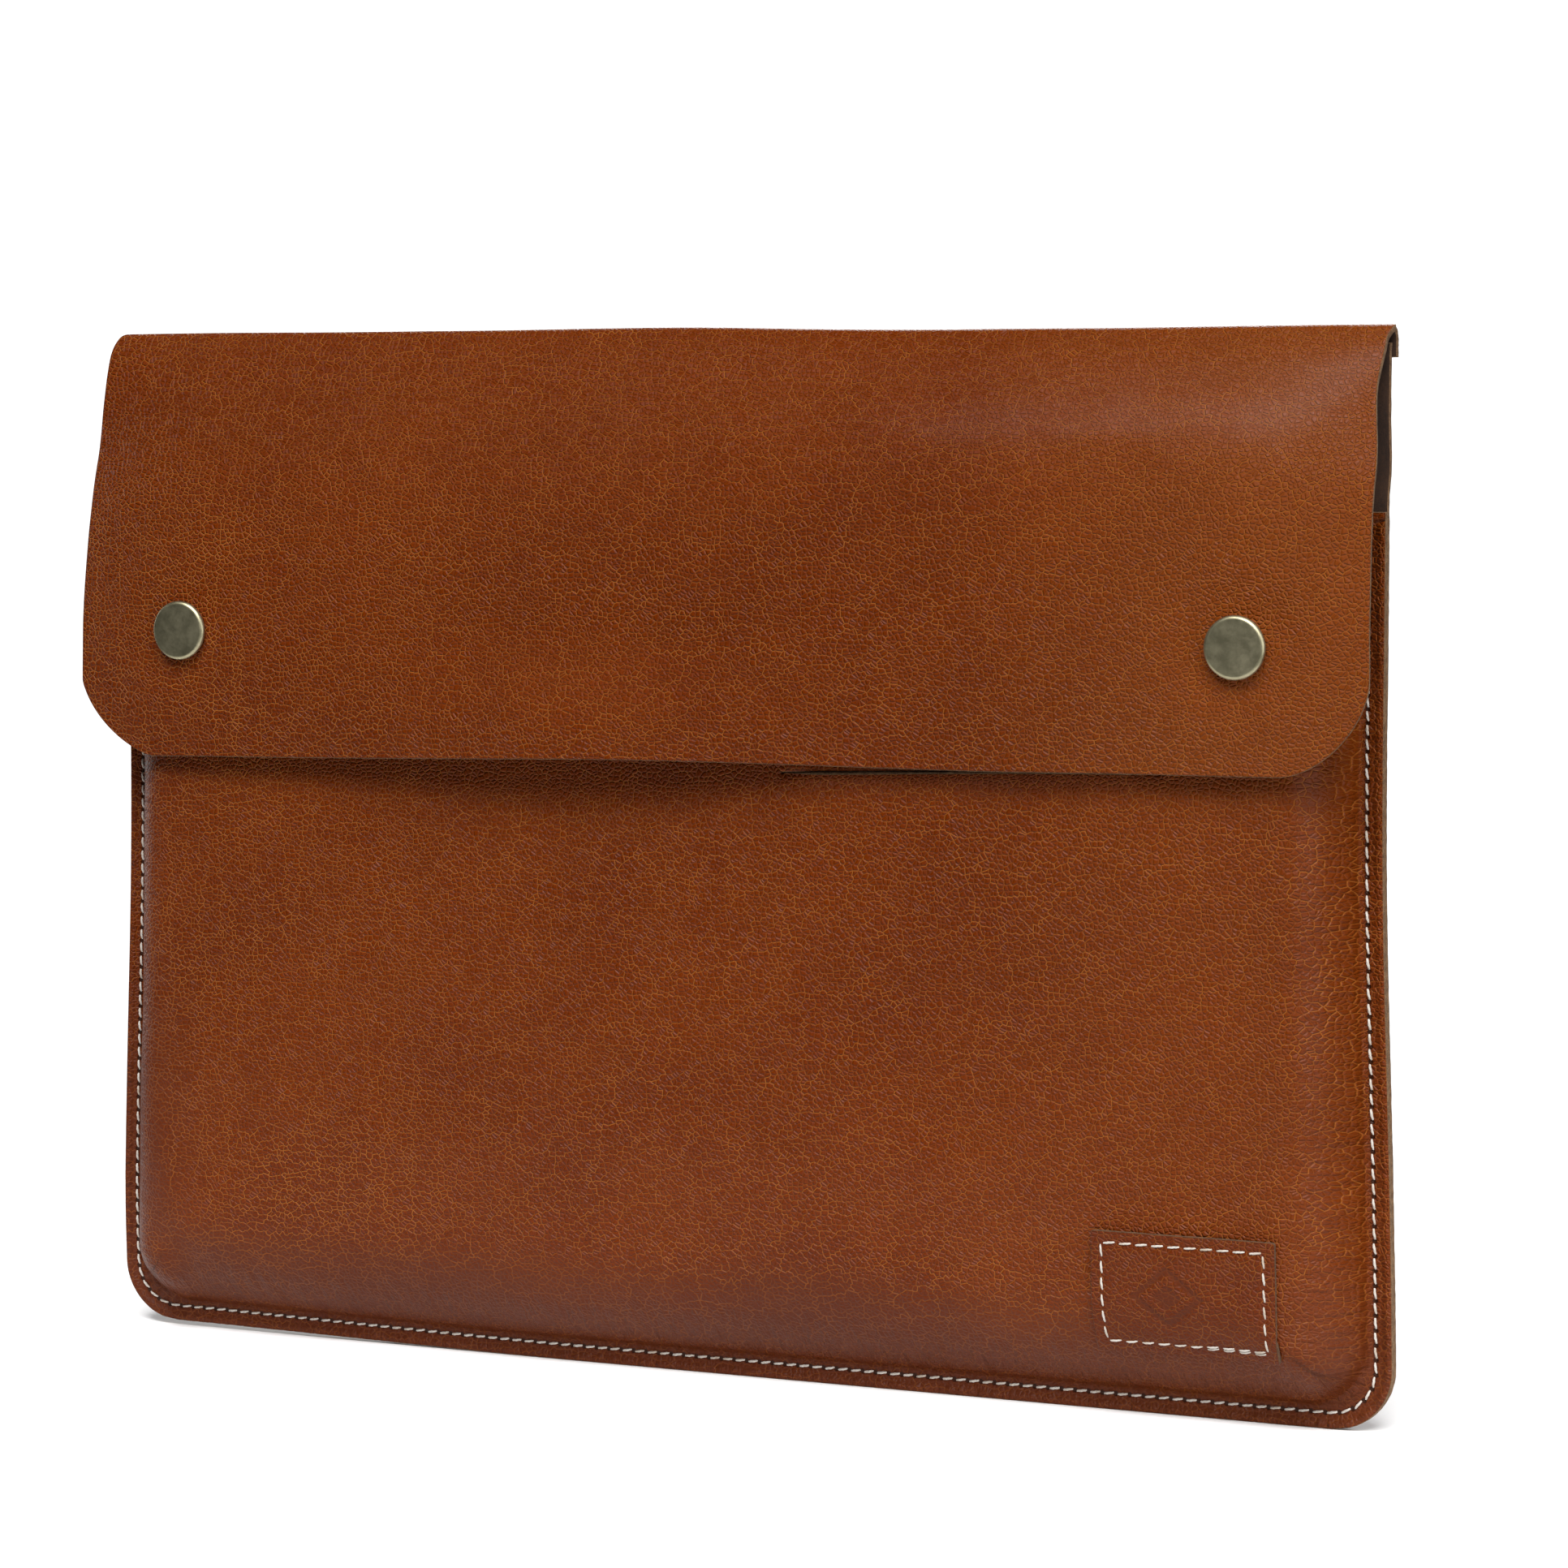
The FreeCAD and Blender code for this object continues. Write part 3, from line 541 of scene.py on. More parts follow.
def grain_material(name, dark, mid, vein, burnish_and_sheen, gloss=0.33):
    """Full-grain leather: fine pebbles, and paler crackle that runs between groups of them."""
    n = Nodes(name)
    skin = n.flat("skin")
    drift = n.vector_add(n.noise(skin, 6.0, 2.0, 0.5, colour=True), (-0.5, -0.5, -0.5))
    place = n.vector_add(skin, n.vector_scale(drift, 0.030))
    parts = n.add("SeparateXYZ", {0: n.flat("zone")})
    calm, open_grain_and_sheen = parts.outputs["X"], parts.outputs["Y"]
    squashed = n.scaled(place, (1.0, 1.20, 1.0))
    pebble = n.cells(squashed, PEBBLES, "DISTANCE_TO_EDGE")
    nearest = n.cells(squashed, PEBBLES, "F1", output="Position")
    second = n.cells(squashed, PEBBLES, "F2", output="Position")

    def parted(scale, stretch, offset):
        """1 between two pebbles that belong to different groups."""
        here = n.cells(n.scaled(nearest, stretch, offset), scale, output="Color")
        there = n.cells(n.scaled(second, stretch, offset), scale, output="Color")
        apart = n.add("VectorMath", {0: here, 1: there}, operation="DISTANCE").outputs["Value"]
        return n.maths("GREATER_THAN", apart, 0.001)

    def patchy(scale, offset, start, end, least):
        """Share that comes and goes over the leather, never below the least."""
        cloud = n.noise(n.scaled(skin, (1.0, 1.0, 1.0), offset), scale, 2.0, 0.5)
        return n.span(cloud, start, end, least, 1.0)

    thin_line = n.span(pebble, 0.0, 0.12, 1.0, 0.0)
    bold_line = n.span(pebble, 0.0, 0.19, 1.0, 0.0)
    groups = n.times(parted(24.0, (0.8, 1.1, 1.0), (0, 0, 0)), patchy(9.0, (3, 1, 0), 0.38, 0.62, 0.6))
    families = n.times(parted(11.0, (0.9, 1.1, 1.0), (4.1, 7.3, 0)),
                       patchy(5.0, (8, 5, 0), 0.35, 0.60, 0.55))
    pulled_over = n.times(parted(28.0, (0.28, 1.0, 1.0), (2.0, 9.0, 0)),
                          patchy(3.0, (1, 6, 0), 0.38, 0.58, 0.25))
    pulled_up = n.times(parted(13.0, (1.0, 0.08, 1.0), (6.0, 3.0, 0)),
                        patchy(2.6, (7, 2, 0), 0.40, 0.58, 0.15))
    open_lines = n.times(n.maths("MAXIMUM", pulled_over, pulled_up), n.plus(open_grain_and_sheen, 1.05, 0.12))
    creases = n.maths("MAXIMUM", n.times(groups, 0.72), n.times(families, 0.90))
    veins = n.times(n.maths("MAXIMUM", creases, open_lines), bold_line)
    fine_lines = n.times(thin_line, patchy(7.0, (2, 9, 0), 0.35, 0.65, 0.35))
    veins = n.maths("MAXIMUM", veins, n.times(fine_lines, 0.27))
    veins = n.times(veins, n.plus(calm, -0.75, 1.0))
    blotch = n.span(n.noise(skin, 2.2, 4.0, 0.6), 0.30, 0.70)
    mottle = n.span(n.noise(skin, 17.0, 4.0, 0.65), 0.3, 0.7)
    dots = n.span(n.noise(skin, 150.0, 2.0, 0.6), 0.36, 0.64)
    share = n.plus(mottle, 0.22, n.times(blotch, 0.50))
    share = n.plus(dots, 0.28, share)
    ground = n.mix(share, dark, mid)
    # painted sheen: where the open share is below 0, on the right, the ground is mixed towards a lighter,
    # paler colour
    ground = n.mix(n.times(open_grain_and_sheen, -0.9), ground, RIGHT_SHEEN)
    # calm zones take a darker mauve colour: partly real burnishing, partly a painted sheen of the floor's
    # reflection
    ground = n.mix(n.times(calm, 0.65), ground, burnish_and_sheen)
    colour = n.mix(n.times(veins, 0.9), ground, vein)
    scar = n.span(n.noise(n.scaled(skin, (1.0, 2.4, 1.0), (4.0, 9.0, 0)), 3.3, 3.0, 0.55), 0.66, 0.80)
    colour = n.mix(n.times(scar, 0.35), colour, shade(dark, 0.6))
    dome = n.span(pebble, 0.0, 0.32)
    height = n.times(dome, 0.9)
    height = n.plus(veins, -0.8, height)
    height = n.plus(n.noise(skin, 240.0, 2.0, 0.6), 0.35, height)
    height = n.times(height, n.plus(calm, -0.65, 1.0))
    rough = n.span(n.noise(skin, 22.0, 3.0, 0.6), 0.3, 0.7, gloss - 0.06, gloss + 0.08, smooth=False)
    rough = n.plus(veins, 0.08, rough)
    rough = n.plus(calm, 0.05, rough)
    rough = n.plus(open_grain_and_sheen, 0.08, rough)
    seam = n.add("SeparateXYZ", {0: n.flat("seam")})
    along, off = seam.outputs["X"], n.maths("ABSOLUTE", seam.outputs["Y"])
    nearest_hole = n.maths("SUBTRACT", n.maths("FRACT", n.maths("ADD", along, 0.5)), 0.5)
    near = n.times(nearest_hole, STITCH)
    apart = n.maths("SQRT", n.plus(near, near, n.times(off, off)))
    hole = n.span(apart, 0.35, 0.75, 1.0, 0.0)
    pulled = n.span(off, 0.2, 1.6, 1.0, 0.0)
    # painted shade: the needle holes are drawn near-black
    colour = n.mix(n.times(hole, 0.92), colour, (0.012, 0.006, 0.003))
    # painted shade: the groove that the thread pulls in is drawn darker
    colour = n.mix(n.times(pulled, 0.25), colour, shade(dark, 0.5))
    height = n.plus(hole, -3.0, height)
    height = n.plus(pulled, -1.2, height)
    pucker = n.noise(n.scaled(n.flat("seam"), (1.5, 0.10, 1.0)), 1.0, 3.0, 0.55)
    near_seam = n.times(n.span(off, 1.2, 3.0), n.span(off, 5.0, 19.0, 1.0, 0.0))
    height = n.plus(n.times(pucker, near_seam), 8.0, height)
    normal = n.bump(height, 0.80, 0.00034)
    return n.finish(colour, rough, normal, Specular_IOR_Level=0.09, Coat_Weight=0.05, Coat_Roughness=0.22)


def flesh_material(name, dark, pale):
    """Suede flesh side: matt, fibrous and mottled."""
    n = Nodes(name)
    skin = n.flat("skin")
    nap = n.noise(skin, 120.0, 4.0, 0.75)
    cloud = n.noise(skin, 7.0, 4.0, 0.6)
    fibre = n.noise(n.scaled(skin, (160.0, 30.0, 1.0), turn=(0, 0, 0.7)), 1.0, 3.0, 0.7)
    share = n.plus(nap, 0.5, n.times(cloud, 0.5))
    colour = n.mix(n.span(share, 0.35, 0.65), dark, pale)
    colour = n.mix(n.span(fibre, 0.55, 0.75, 0.0, 0.5), colour, shade(pale, 1.5))
    height = n.plus(fibre, 0.6, nap)
    normal = n.bump(height, 0.6, 0.0003)
    rough = n.span(nap, 0.3, 0.7, 0.82, 0.98, smooth=False)
    return n.finish(colour, rough, normal, Specular_IOR_Level=0.15, Sheen_Weight=0.12,
                    Sheen_Roughness=0.6)


def cut_edge_material(name, dark, pale):
    """Raw cut edge of the leather: packed fibres between a darker grain and flesh line."""
    n = Nodes(name)
    skin = n.flat("skin")
    fibre = n.noise(n.scaled(skin, (500.0, 120.0, 1.0)), 1.0, 4.0, 0.7)
    clump = n.noise(n.scaled(skin, (60.0, 60.0, 1.0)), 1.0, 3.0, 0.6)
    parts = n.add("SeparateXYZ", {0: skin})
    grain_line = n.span(parts.outputs["Y"], 0.002, 0.006, 1.0, 0.0)
    share = n.plus(fibre, 0.6, n.times(clump, 0.4))
    colour = n.mix(n.span(share, 0.38, 0.62), dark, pale)
    colour = n.mix(n.times(grain_line, 0.3), colour, shade(dark, 0.8))
    normal = n.bump(share, 0.9, 0.0003)
    rough = n.span(fibre, 0.3, 0.7, 0.75, 0.95, smooth=False)
    return n.finish(colour, rough, normal, Specular_IOR_Level=0.15, Sheen_Weight=0.05,
                    Sheen_Roughness=0.6)


def thread_material(name, colour_a, colour_b):
    """Waxed off-white thread: plies come from the mesh, fuzz and soiling from noise."""
    n = Nodes(name)
    place = n.object_place()
    fuzz = n.noise(place, 9000.0, 3.0, 0.7)
    soil = n.noise(place, 160.0, 3.0, 0.6)
    colour = n.mix(n.span(soil, 0.45, 0.75), colour_a, colour_b)
    colour = n.mix(n.span(fuzz, 0.5, 0.8, 0.0, 0.35), colour, shade(colour_b, 0.7))
    normal = n.bump(fuzz, 0.5, 0.00006)
    rough = n.span(fuzz, 0.3, 0.7, 0.55, 0.8, smooth=False)
    return n.finish(colour, rough, normal, Specular_IOR_Level=0.4, Sheen_Weight=0.2,
                    Sheen_Roughness=0.5)


def brass_material(name, dark, bright, wear=0.5, rough_low=0.24, rough_high=0.46):
    """Antique plated brass: olive patina, rubbed where it stands proud, fine scratches."""
    n = Nodes(name)
    place = n.object_place()
    cloud = n.noise(place, 260.0, 3.0, 0.55)
    spots = n.noise(place, 1300.0, 3.0, 0.6)
    scratch = n.noise(n.scaled(place, (900.0, 900.0, 9000.0), turn=(0.3, 0.8, 0.2)), 1.0, 2.0, 0.6)
    patina = n.span(n.plus(spots, 0.35, n.times(cloud, 0.65)), 0.34, 0.66)
    rubbed = n.add("NewGeometry").outputs["Pointiness"]
    rubbed = n.span(rubbed, 0.50, 0.56, 0.0, wear)
    middle = tuple(0.72 * a + 0.28 * b for a, b in zip(dark, bright))
    colour = n.mix(patina, dark, middle)
    colour = n.mix(rubbed, colour, bright)
    rough = n.span(n.plus(scratch, 0.5, n.times(cloud, 0.5)),
                   0.3, 0.7, rough_low, rough_high, smooth=False)
    normal = n.bump(n.plus(spots, 0.5, scratch), 0.18, 0.00002)
    return n.finish(colour, rough, normal, Metallic=1.0)


def steel_material(name):
    """Bright drawn spring wire."""
    n = Nodes(name)
    draw = n.noise(n.scaled(n.object_place(), (2500.0, 2500.0, 2500.0)), 1.0, 3.0, 0.6)
    colour = n.mix(n.span(draw, 0.4, 0.6), (0.42, 0.42, 0.41), (0.62, 0.61, 0.58))
    rough = n.span(draw, 0.3, 0.7, 0.22, 0.4, smooth=False)
    return n.finish(colour, rough, n.bump(draw, 0.2, 0.00002), Metallic=1.0)


def lining_material(name, dark, pale):
    """Cotton twill lining of the pocket bag."""
    n = Nodes(name)
    skin = n.flat("skin")
    diagonal = n.scaled(skin, (1.0, 1.0, 1.0), turn=(0, 0, math.radians(35)))
    wave = n.add("TexWave", {"Vector": diagonal, "Scale": 28.0, "Distortion": 0.6, "Detail": 2.0,
                             "Detail Scale": 4.0}).outputs["Fac"]
    warp = n.add("TexWave", {"Vector": skin, "Scale": 60.0, "Distortion": 0.4}).outputs["Fac"]
    cloud = n.noise(skin, 6.0, 3.0, 0.6)
    height = n.plus(warp, 0.35, wave)
    colour = n.mix(n.plus(height, 0.5, n.times(cloud, 0.4)), dark, pale)
    rough = n.span(cloud, 0.3, 0.7, 0.8, 0.95, smooth=False)
    return n.finish(colour, rough, n.bump(height, 0.5, 0.0002), Sheen_Weight=0.3, Sheen_Roughness=0.5)


# Colours are linear RGB.
# painted sheen: lighter, paler ground that is mixed in towards the right side
RIGHT_SHEEN = (0.230, 0.062, 0.0110)
DARK = (0.090, 0.0122, 0.0001)
MID = (0.132, 0.0208, 0.0002)
VEIN = (0.330, 0.1020, 0.0160)
# partly real burnished leather, partly painted sheen: the mauve of the floor's reflection on the lower
# shoulder
BURNISHED_AND_SHEEN = (0.066, 0.0160, 0.0062)
GRAIN = grain_material("leather_grain", DARK, MID, VEIN, BURNISHED_AND_SHEEN)
PATCH_GRAIN = grain_material("patch_grain", shade(DARK, 0.9), shade(MID, 0.92), shade(VEIN, 0.85),
                             BURNISHED_AND_SHEEN, gloss=0.36)
# painted shade: the flesh colours are made darker than the suede's own, as the gaps where the flesh side
# shows lie in deep shade
FLESH_AND_SHADE = flesh_material("leather_flesh_and_shade", (0.018, 0.0074, 0.0034), (0.042, 0.018, 0.0080))
CUT_EDGE = cut_edge_material("leather_cut_edge", (0.080, 0.038, 0.016), (0.230, 0.130, 0.062))
THREAD_WHITE = thread_material("thread_off_white", (0.50, 0.46, 0.41), (0.36, 0.29, 0.22))
CAP_BRASS = brass_material("cap_brass", (0.30, 0.275, 0.17), (0.66, 0.60, 0.42), 0.5, 0.36, 0.50)
SNAP_BRASS = brass_material("snap_brass", (0.16, 0.13, 0.075), (0.55, 0.46, 0.28), 0.7, 0.22, 0.40)
WIRE_STEEL = steel_material("spring_wire")
LINING = lining_material("pocket_lining", (0.055, 0.036, 0.022), (0.110, 0.075, 0.048))
PATCH_EDGE = cut_edge_material("patch_cut_edge", (0.050, 0.021, 0.008), (0.125, 0.060, 0.026))
LEATHERS = (GRAIN, FLESH_AND_SHADE, CUT_EDGE)
PATCH_LEATHERS = (PATCH_GRAIN, FLESH_AND_SHADE, PATCH_EDGE)


# ---- Back panel and front panel ----
def outline_half(up, half, corner):
    """Half width of a panel with rounded bottom corners at a height."""
    below = np.clip(corner - np.asarray(up, float), 0, corner)
    return half - corner + np.sqrt(np.maximum(corner ** 2 - below ** 2, 0))


def panel_grid(rows, columns):
    """Flat grid over a panel: across and up for each point."""
    up = np.asarray(rows)[:, None]
    share = np.asarray(columns)[None, :]
    across = share * outline_half(up, BODY_HALF, BODY_CORNER)
    return across, np.broadcast_to(up, across.shape)


def make_back_panel():
    """Back panel: grain side out at the rear, slightly swollen, edges a little wavy."""
    rows = graded(0.0, BACK_TOP, STEP, 0.45, (16, 4))
    columns = graded(-1.0, 1.0, STEP / BODY_HALF, 0.6, (0.10, 0.10))
    across, up = panel_grid(rows, columns)
    forward = back_face(across, up)
    free = ramp(up, FRONT_TOP - 8, FRONT_TOP + 12) * ramp(np.abs(across), BODY_HALF - 30, BODY_HALF)
    forward = forward - free * (0.5 + 0.55 * noise(across, up, 14, 21))
    nick = 0.35 * noise(up, across * 0, 11, 22) * ramp(np.abs(across), BODY_HALF - 8, BODY_HALF)
    x = across * waist(across, up) + np.sign(across) * nick * ramp(up, FRONT_TOP - 5, FRONT_TOP + 5)
    grain = per_point(x, forward - LEATHER, up + rise(across, up))
    skin = flat_skin(across, up, (21.0, 4.0))
    seam = seam_coordinates(across, up).reshape(-1, 2)
    quads = grid_quads(len(rows), len(columns), flip=True)
    piece = leather_sheet("back_panel_leather", grain, quads, skin, LEATHERS, seam=seam,
                          zone=zones(across, up, 0.1), seed=31)
    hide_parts("back_panel")
    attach(piece, "sleeve")


def make_front_panel():
    """Front panel: flange, shoulders, crowned face and the pocket slit as a real cut."""
    rows = graded(0.0, FRONT_TOP, STEP, 0.45, (34, 4))
    rows[np.argmin(np.abs(rows - SLIT_Z))] = SLIT_Z
    slit_row = int(np.argmin(np.abs(rows - SLIT_Z)))
    rows = np.insert(rows, slit_row, SLIT_Z)
    columns = graded(-1.0, 1.0, STEP / BODY_HALF, 0.45, (0.17, 0.17))
    across, up = panel_grid(rows, columns)
    forward = bulge(across, up)
    inside_slit = ramp(across, SLIT_LEFT, SLIT_LEFT + 10) * (1 - ramp(across, SLIT_RIGHT - 10, SLIT_RIGHT))
    height = np.array(up, float)
    near_above = np.arange(len(rows))[:, None] > slit_row
    lip = hump(up, SLIT_Z, 4.0) * inside_slit
    height = height + np.where(near_above, 0.10, -0.05) * hump(up, SLIT_Z, 2.5) * inside_slit
    height = height + rise(across, up)
    forward = forward + np.where(near_above, -0.35, 0.45) * lip
    grain = per_point(across * waist(across, up), forward, height)
    skin = flat_skin(across, up, (4.0, 11.0))
    seam = seam_coordinates(across, up).reshape(-1, 2)
    # calm band near the edges and along the bottom: calmer grain, and a painted sheen where the lower
    # shoulder reflects the floor
    calm = 1 - ramp(edge_distance(across, up) + 5 * noise(across, up, 40, 83), 10, 42)
    calm = calm * (1 - 0.8 * ramp(up, 60, 110)) * (1 - 0.75 * ramp(across, 105, 145) * ramp(up, 12, 45))
    zone = zones(across, up, 0.9 * calm)
    quads = grid_quads(len(rows), len(columns))
    count = len(columns)
    quads = quads[quads[:, 0] // count != slit_row]
    merged = np.arange(len(grain))
    closed = (columns * BODY_HALF <= SLIT_LEFT) | (columns * BODY_HALF >= SLIT_RIGHT)
    merged[(slit_row + 1) * count:(slit_row + 2) * count][closed] = (
        np.arange(slit_row * count, (slit_row + 1) * count)[closed])
    quads = merged[quads]
    keep = np.unique(quads)
    renumber = np.zeros(len(grain), int)
    renumber[keep] = np.arange(len(keep))
    skive = (0.35 * inside_slit * (np.arange(len(rows))[:, None] == slit_row)).reshape(-1)
    piece = leather_sheet("front_panel_leather", grain[keep], renumber[quads], skin[keep], LEATHERS,
                          seam=seam[keep], zone=zone[keep], seed=32, skive=skive[keep])
    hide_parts("front_panel")
    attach(piece, "sleeve")


# ---- Flap: one piece of leather from the lap, over the fold, to the lower edge ----
def cut_corner(drop, tall, wide, power):
    """How far a rounded corner of the flap pulls the side in, at a distance from the lower edge."""
    share = np.clip(1 - drop / tall, 0, 1)
    return wide * (1 - (1 - share ** power) ** (1 / power))


def flap_shape():
    """Grids over the flap, from the lap to the lower edge: grain side, drop, stitch coordinates."""
    line = flap_line()
    lap = TOP - LEATHER / 2 - FOLD_RADIUS - LAP_LOW
    turn_end = lap + FOLD_RADIUS * FOLD_TURN
    length = np.linalg.norm(np.diff(line, axis=0), axis=1).sum()

    def spacing(total):
        fold = np.arange(0, turn_end + 3, FOLD_STEP)
        return np.concatenate([fold, graded(turn_end + 3, total, STEP, 0.35, (0, 26))])
    middle, along = resampled(line, spacing)
    tangent = unit(np.gradient(middle, axis=0))
    outside = middle + np.stack([-tangent[:, 1], tangent[:, 0]], axis=1) * LEATHER / 2
    along, drop = along[:, None], (length - along)[:, None]
    share = graded(-1.0, 1.0, STEP / FLAP_HALF, 0.5, (0.16, 0.16))[None, :]

    # Sides: wider below the fold, corners cut, the right side slimmer where it leaves the fold.
    opening = np.clip((along - lap - FOLD_RADIUS * 1.4) / 8.0, 0, 1)
    widening = np.sqrt(1 - (1 - opening) ** 2)
    half = FOLD_HALF + (FLAP_HALF - FOLD_HALF) * widening
    pinch = 1.3 * hump(along, turn_end + 42, 24)
    slim = 3.1 * ramp(along, turn_end - 4, turn_end + 3) * (1 - ramp(along, turn_end + 11, turn_end + 38))
    slim = slim + 0.7 * (ramp(along, turn_end, turn_end + 20) + ramp(along, turn_end + 45, turn_end + 80))
    left_half = half - cut_corner(drop, 19.0, 24.0, 1.45)
    right_half = half - cut_corner(drop, 23.0, 21.0, 1.75) - slim
    across = share * (np.where(share < 0, left_half, right_half) - pinch) - 0.8 * widening

    # Outer corners hang back, the lower edge lifts in the middle and runs a little uneven.
    side = np.clip((np.abs(across) - (SNAP_X - 4)) / (FLAP_HALF - SNAP_X + 4), 0, 1)
    loose = ramp(along, turn_end - 1, turn_end + 34)
    low_part = ramp(-drop, -34, -4)
    lift = 6.0 * hump(across, -34, 58) + 0.5 * hump(across, 90, 30) - 0.9 * hump(across, 62, 24)
    forward = outside[:, :1] - loose * 5.2 * side ** 1.8 + low_part * lift
    height = outside[:, 1:] + low_part * (0.9 * hump(across, -8, 60) - 0.25 * hump(across, 75, 30))
    height = height + low_part * 0.7 * (ramp(across, 10, 135) - side * (across < 0))
    height = height - 1.9 * ramp(-drop, -70, 0) * ramp(-across, 0, FLAP_HALF)

    # Slack waves away from the snaps, a dimple round each, and a crest that is higher on the left.
    from_snap = np.hypot(np.abs(across) - SNAP_X, height - SNAP_Z)
    waves = 0.75 * noise(across, drop, 75, 41) + 0.35 * noise(across, drop, 30, 42)
    waves = waves + 0.10 * noise(across, drop, 9, 43)
    forward = forward + loose * (ramp(from_snap, 7, 26) * waves - 0.55 * hump(from_snap, 11.5, 4.5))
    ridge = ramp(along, lap, lap + 4) * (1 - ramp(along, turn_end - 1, turn_end + 16))
    height = height + ridge * (0.3 * noise(across, across * 0, 55, 44) + 1.7 * ramp(-across, -110, 30)
                               + 0.8 * ramp(-across, 60, FOLD_HALF))
    in_lap = np.broadcast_to(np.where(along < 4.4, along - (LAP_ROW - LAP_LOW), FAR_OFF), across.shape)
    drop = np.broadcast_to(drop, across.shape)
    return np.stack([across, forward, height], axis=-1), drop, np.stack([across / STITCH, in_lap], axis=-1)


def make_flap():
    """The whole flap as one sheet."""
    grain, drop, seam = flap_shape()
    across, height = grain[..., 0], grain[..., 2]
    piece = leather_sheet("flap_leather", grain.reshape(-1, 3), grid_quads(*drop.shape, flip=True),
                          flat_skin(across, drop, (31.0, 17.0)), LEATHERS, seam=seam.reshape(-1, 2),
                          zone=zones(across, height, 0.0, sheen_share=0.36), seed=33)
    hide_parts("flap", "flap_fold_strip")
    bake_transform(piece)


# ---- Stitches ----
def stitch_rows(name, places, node, body="sleeve", width=THREAD, seed=0, doubled=()):
    """Separate stitches of plied thread.

    places: list of (start, end, outward) in millimetres, the holes at the stitch's ends and the
    direction out of the leather.
    """
    rng = np.random.default_rng(seed)
    around, steps = ((15, 13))
    angle = np.linspace(0, 2 * math.pi, around, endpoint=False)
    all_points, all_faces = [], []
    for number, (start, end, out) in enumerate(places):
        copies = (-0.32, 0.32) if number in doubled else (0.0,)
        for shift in copies:
            start_m, end_m, out_m = world(start) / MM, world(end) / MM, np.asarray(out, float)
            out_m = np.array([out_m[0], -out_m[1], out_m[2]])
            ahead = end_m - start_m
            length = np.linalg.norm(ahead)
            ahead /= length
            sideways = np.cross(out_m, ahead)
            slant = 0.30 * width + rng.normal(0, 0.03)
            spin = rng.uniform(0, 2 * math.pi)
            share = np.linspace(0, 1, steps)
            arc = np.sin(np.pi * np.clip((share + 0.02) / 1.04, 0, 1)) ** 0.42
            lift = (-0.55 + 0.93 * arc) * width
            run = 0.13 * length + share * 0.74 * length
            side = shift * width * 1.9 + slant * (share * 2 - 1)
            centre = start_m + ahead * run[:, None] + out_m * lift[:, None] + sideways * side[:, None]
            swell = 1 + 0.16 * np.cos(3 * (angle[None, :] + share[:, None] * 4.4 * length / STITCH + spin))
            ends = 0.72 + 0.28 * np.sin(np.pi * share)
            radius = width / 2 * swell * ends[:, None] * (1 + rng.normal(0, 0.03))
            ring = (centre[:, None, :] + sideways * (np.cos(angle)[None, :] * radius)[..., None]
                    + out_m * (np.sin(angle)[None, :] * radius)[..., None] * 0.92)
            all_faces += tube_faces(steps, around, len(all_points) * steps * around)
            all_points.append(ring.reshape(-1, 3))
    piece = make_object(name, np.concatenate(all_points) * MM, all_faces, (THREAD_WHITE,))
    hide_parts(node)
    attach(piece, body)


def surface_place(surface, across, up, spread=0.8):
    """Point on a surface over the body's flat coordinates, and its outward direction."""
    def at(a, b):
        x, z = body_point(a, b)
        return np.array([x, float(surface(np.array(a), np.array(b))), z])
    here = at(across, up)
    right = at(across + spread, up) - at(across - spread, up)
    above = at(across, up + spread) - at(across, up - spread)
    normal = unit(np.cross(right, above))
    return here, -normal if normal[1] < 0 else normal


def seam_holes():
    """Holes of the body seam, spaced as the leather's stitch coordinates have them."""
    side = BODY_HALF - SEAM_INSET
    centre_x, centre_z = side - SEAM_CORNER, SEAM_INSET + SEAM_CORNER
    quarter = SEAM_CORNER * math.pi / 2
    total = centre_x + quarter + SEAM_TOP - centre_z
    count = int(total / STITCH)
    holes = []
    for number in range(-count, count + 1):
        along = abs(number) * STITCH
        sign = -1 if number < 0 else 1
        if along <= centre_x:
            place = (along, SEAM_INSET)
        elif along <= centre_x + quarter:
            turn = (along - centre_x) / SEAM_CORNER
            place = (centre_x + SEAM_CORNER * math.sin(turn), centre_z - SEAM_CORNER * math.cos(turn))
        else:
            place = (side, centre_z + along - centre_x - quarter)
        holes.append((sign * place[0], place[1]))
    return holes


def stitches_through(holes, surface, sign=1, spread=0.8):
    """Stitches from hole to hole over a surface; sign -1 puts them on its inner side."""
    places = [surface_place(surface, *hole, spread=spread) for hole in holes]
    return [(a[0], b[0], sign * a[1]) for a, b in zip(places[:-1], places[1:])]


def straight_stitches(across, forward, up, out):
    """Level row of stitches through points at one height."""
    holes = [(x, y, up) for x, y in zip(across, np.broadcast_to(forward, np.shape(across)))]
    return [(a, b, np.array(out)) for a, b in zip(holes[:-1], holes[1:])]


def make_body_seam():
    """Needle thread on the front and bobbin thread on the back, through the same holes."""
    needle = stitches_through(seam_holes(), bulge)
    bobbin = stitches_through(seam_holes(), lambda a, b: back_face(a, b) - LEATHER, -1)
    stitch_rows("body_seam_needle_stitches", needle, "body_seam_needle_thread", seed=51)
    stitch_rows("body_seam_bobbin_stitches", bobbin, "body_seam_bobbin_thread", seed=52)


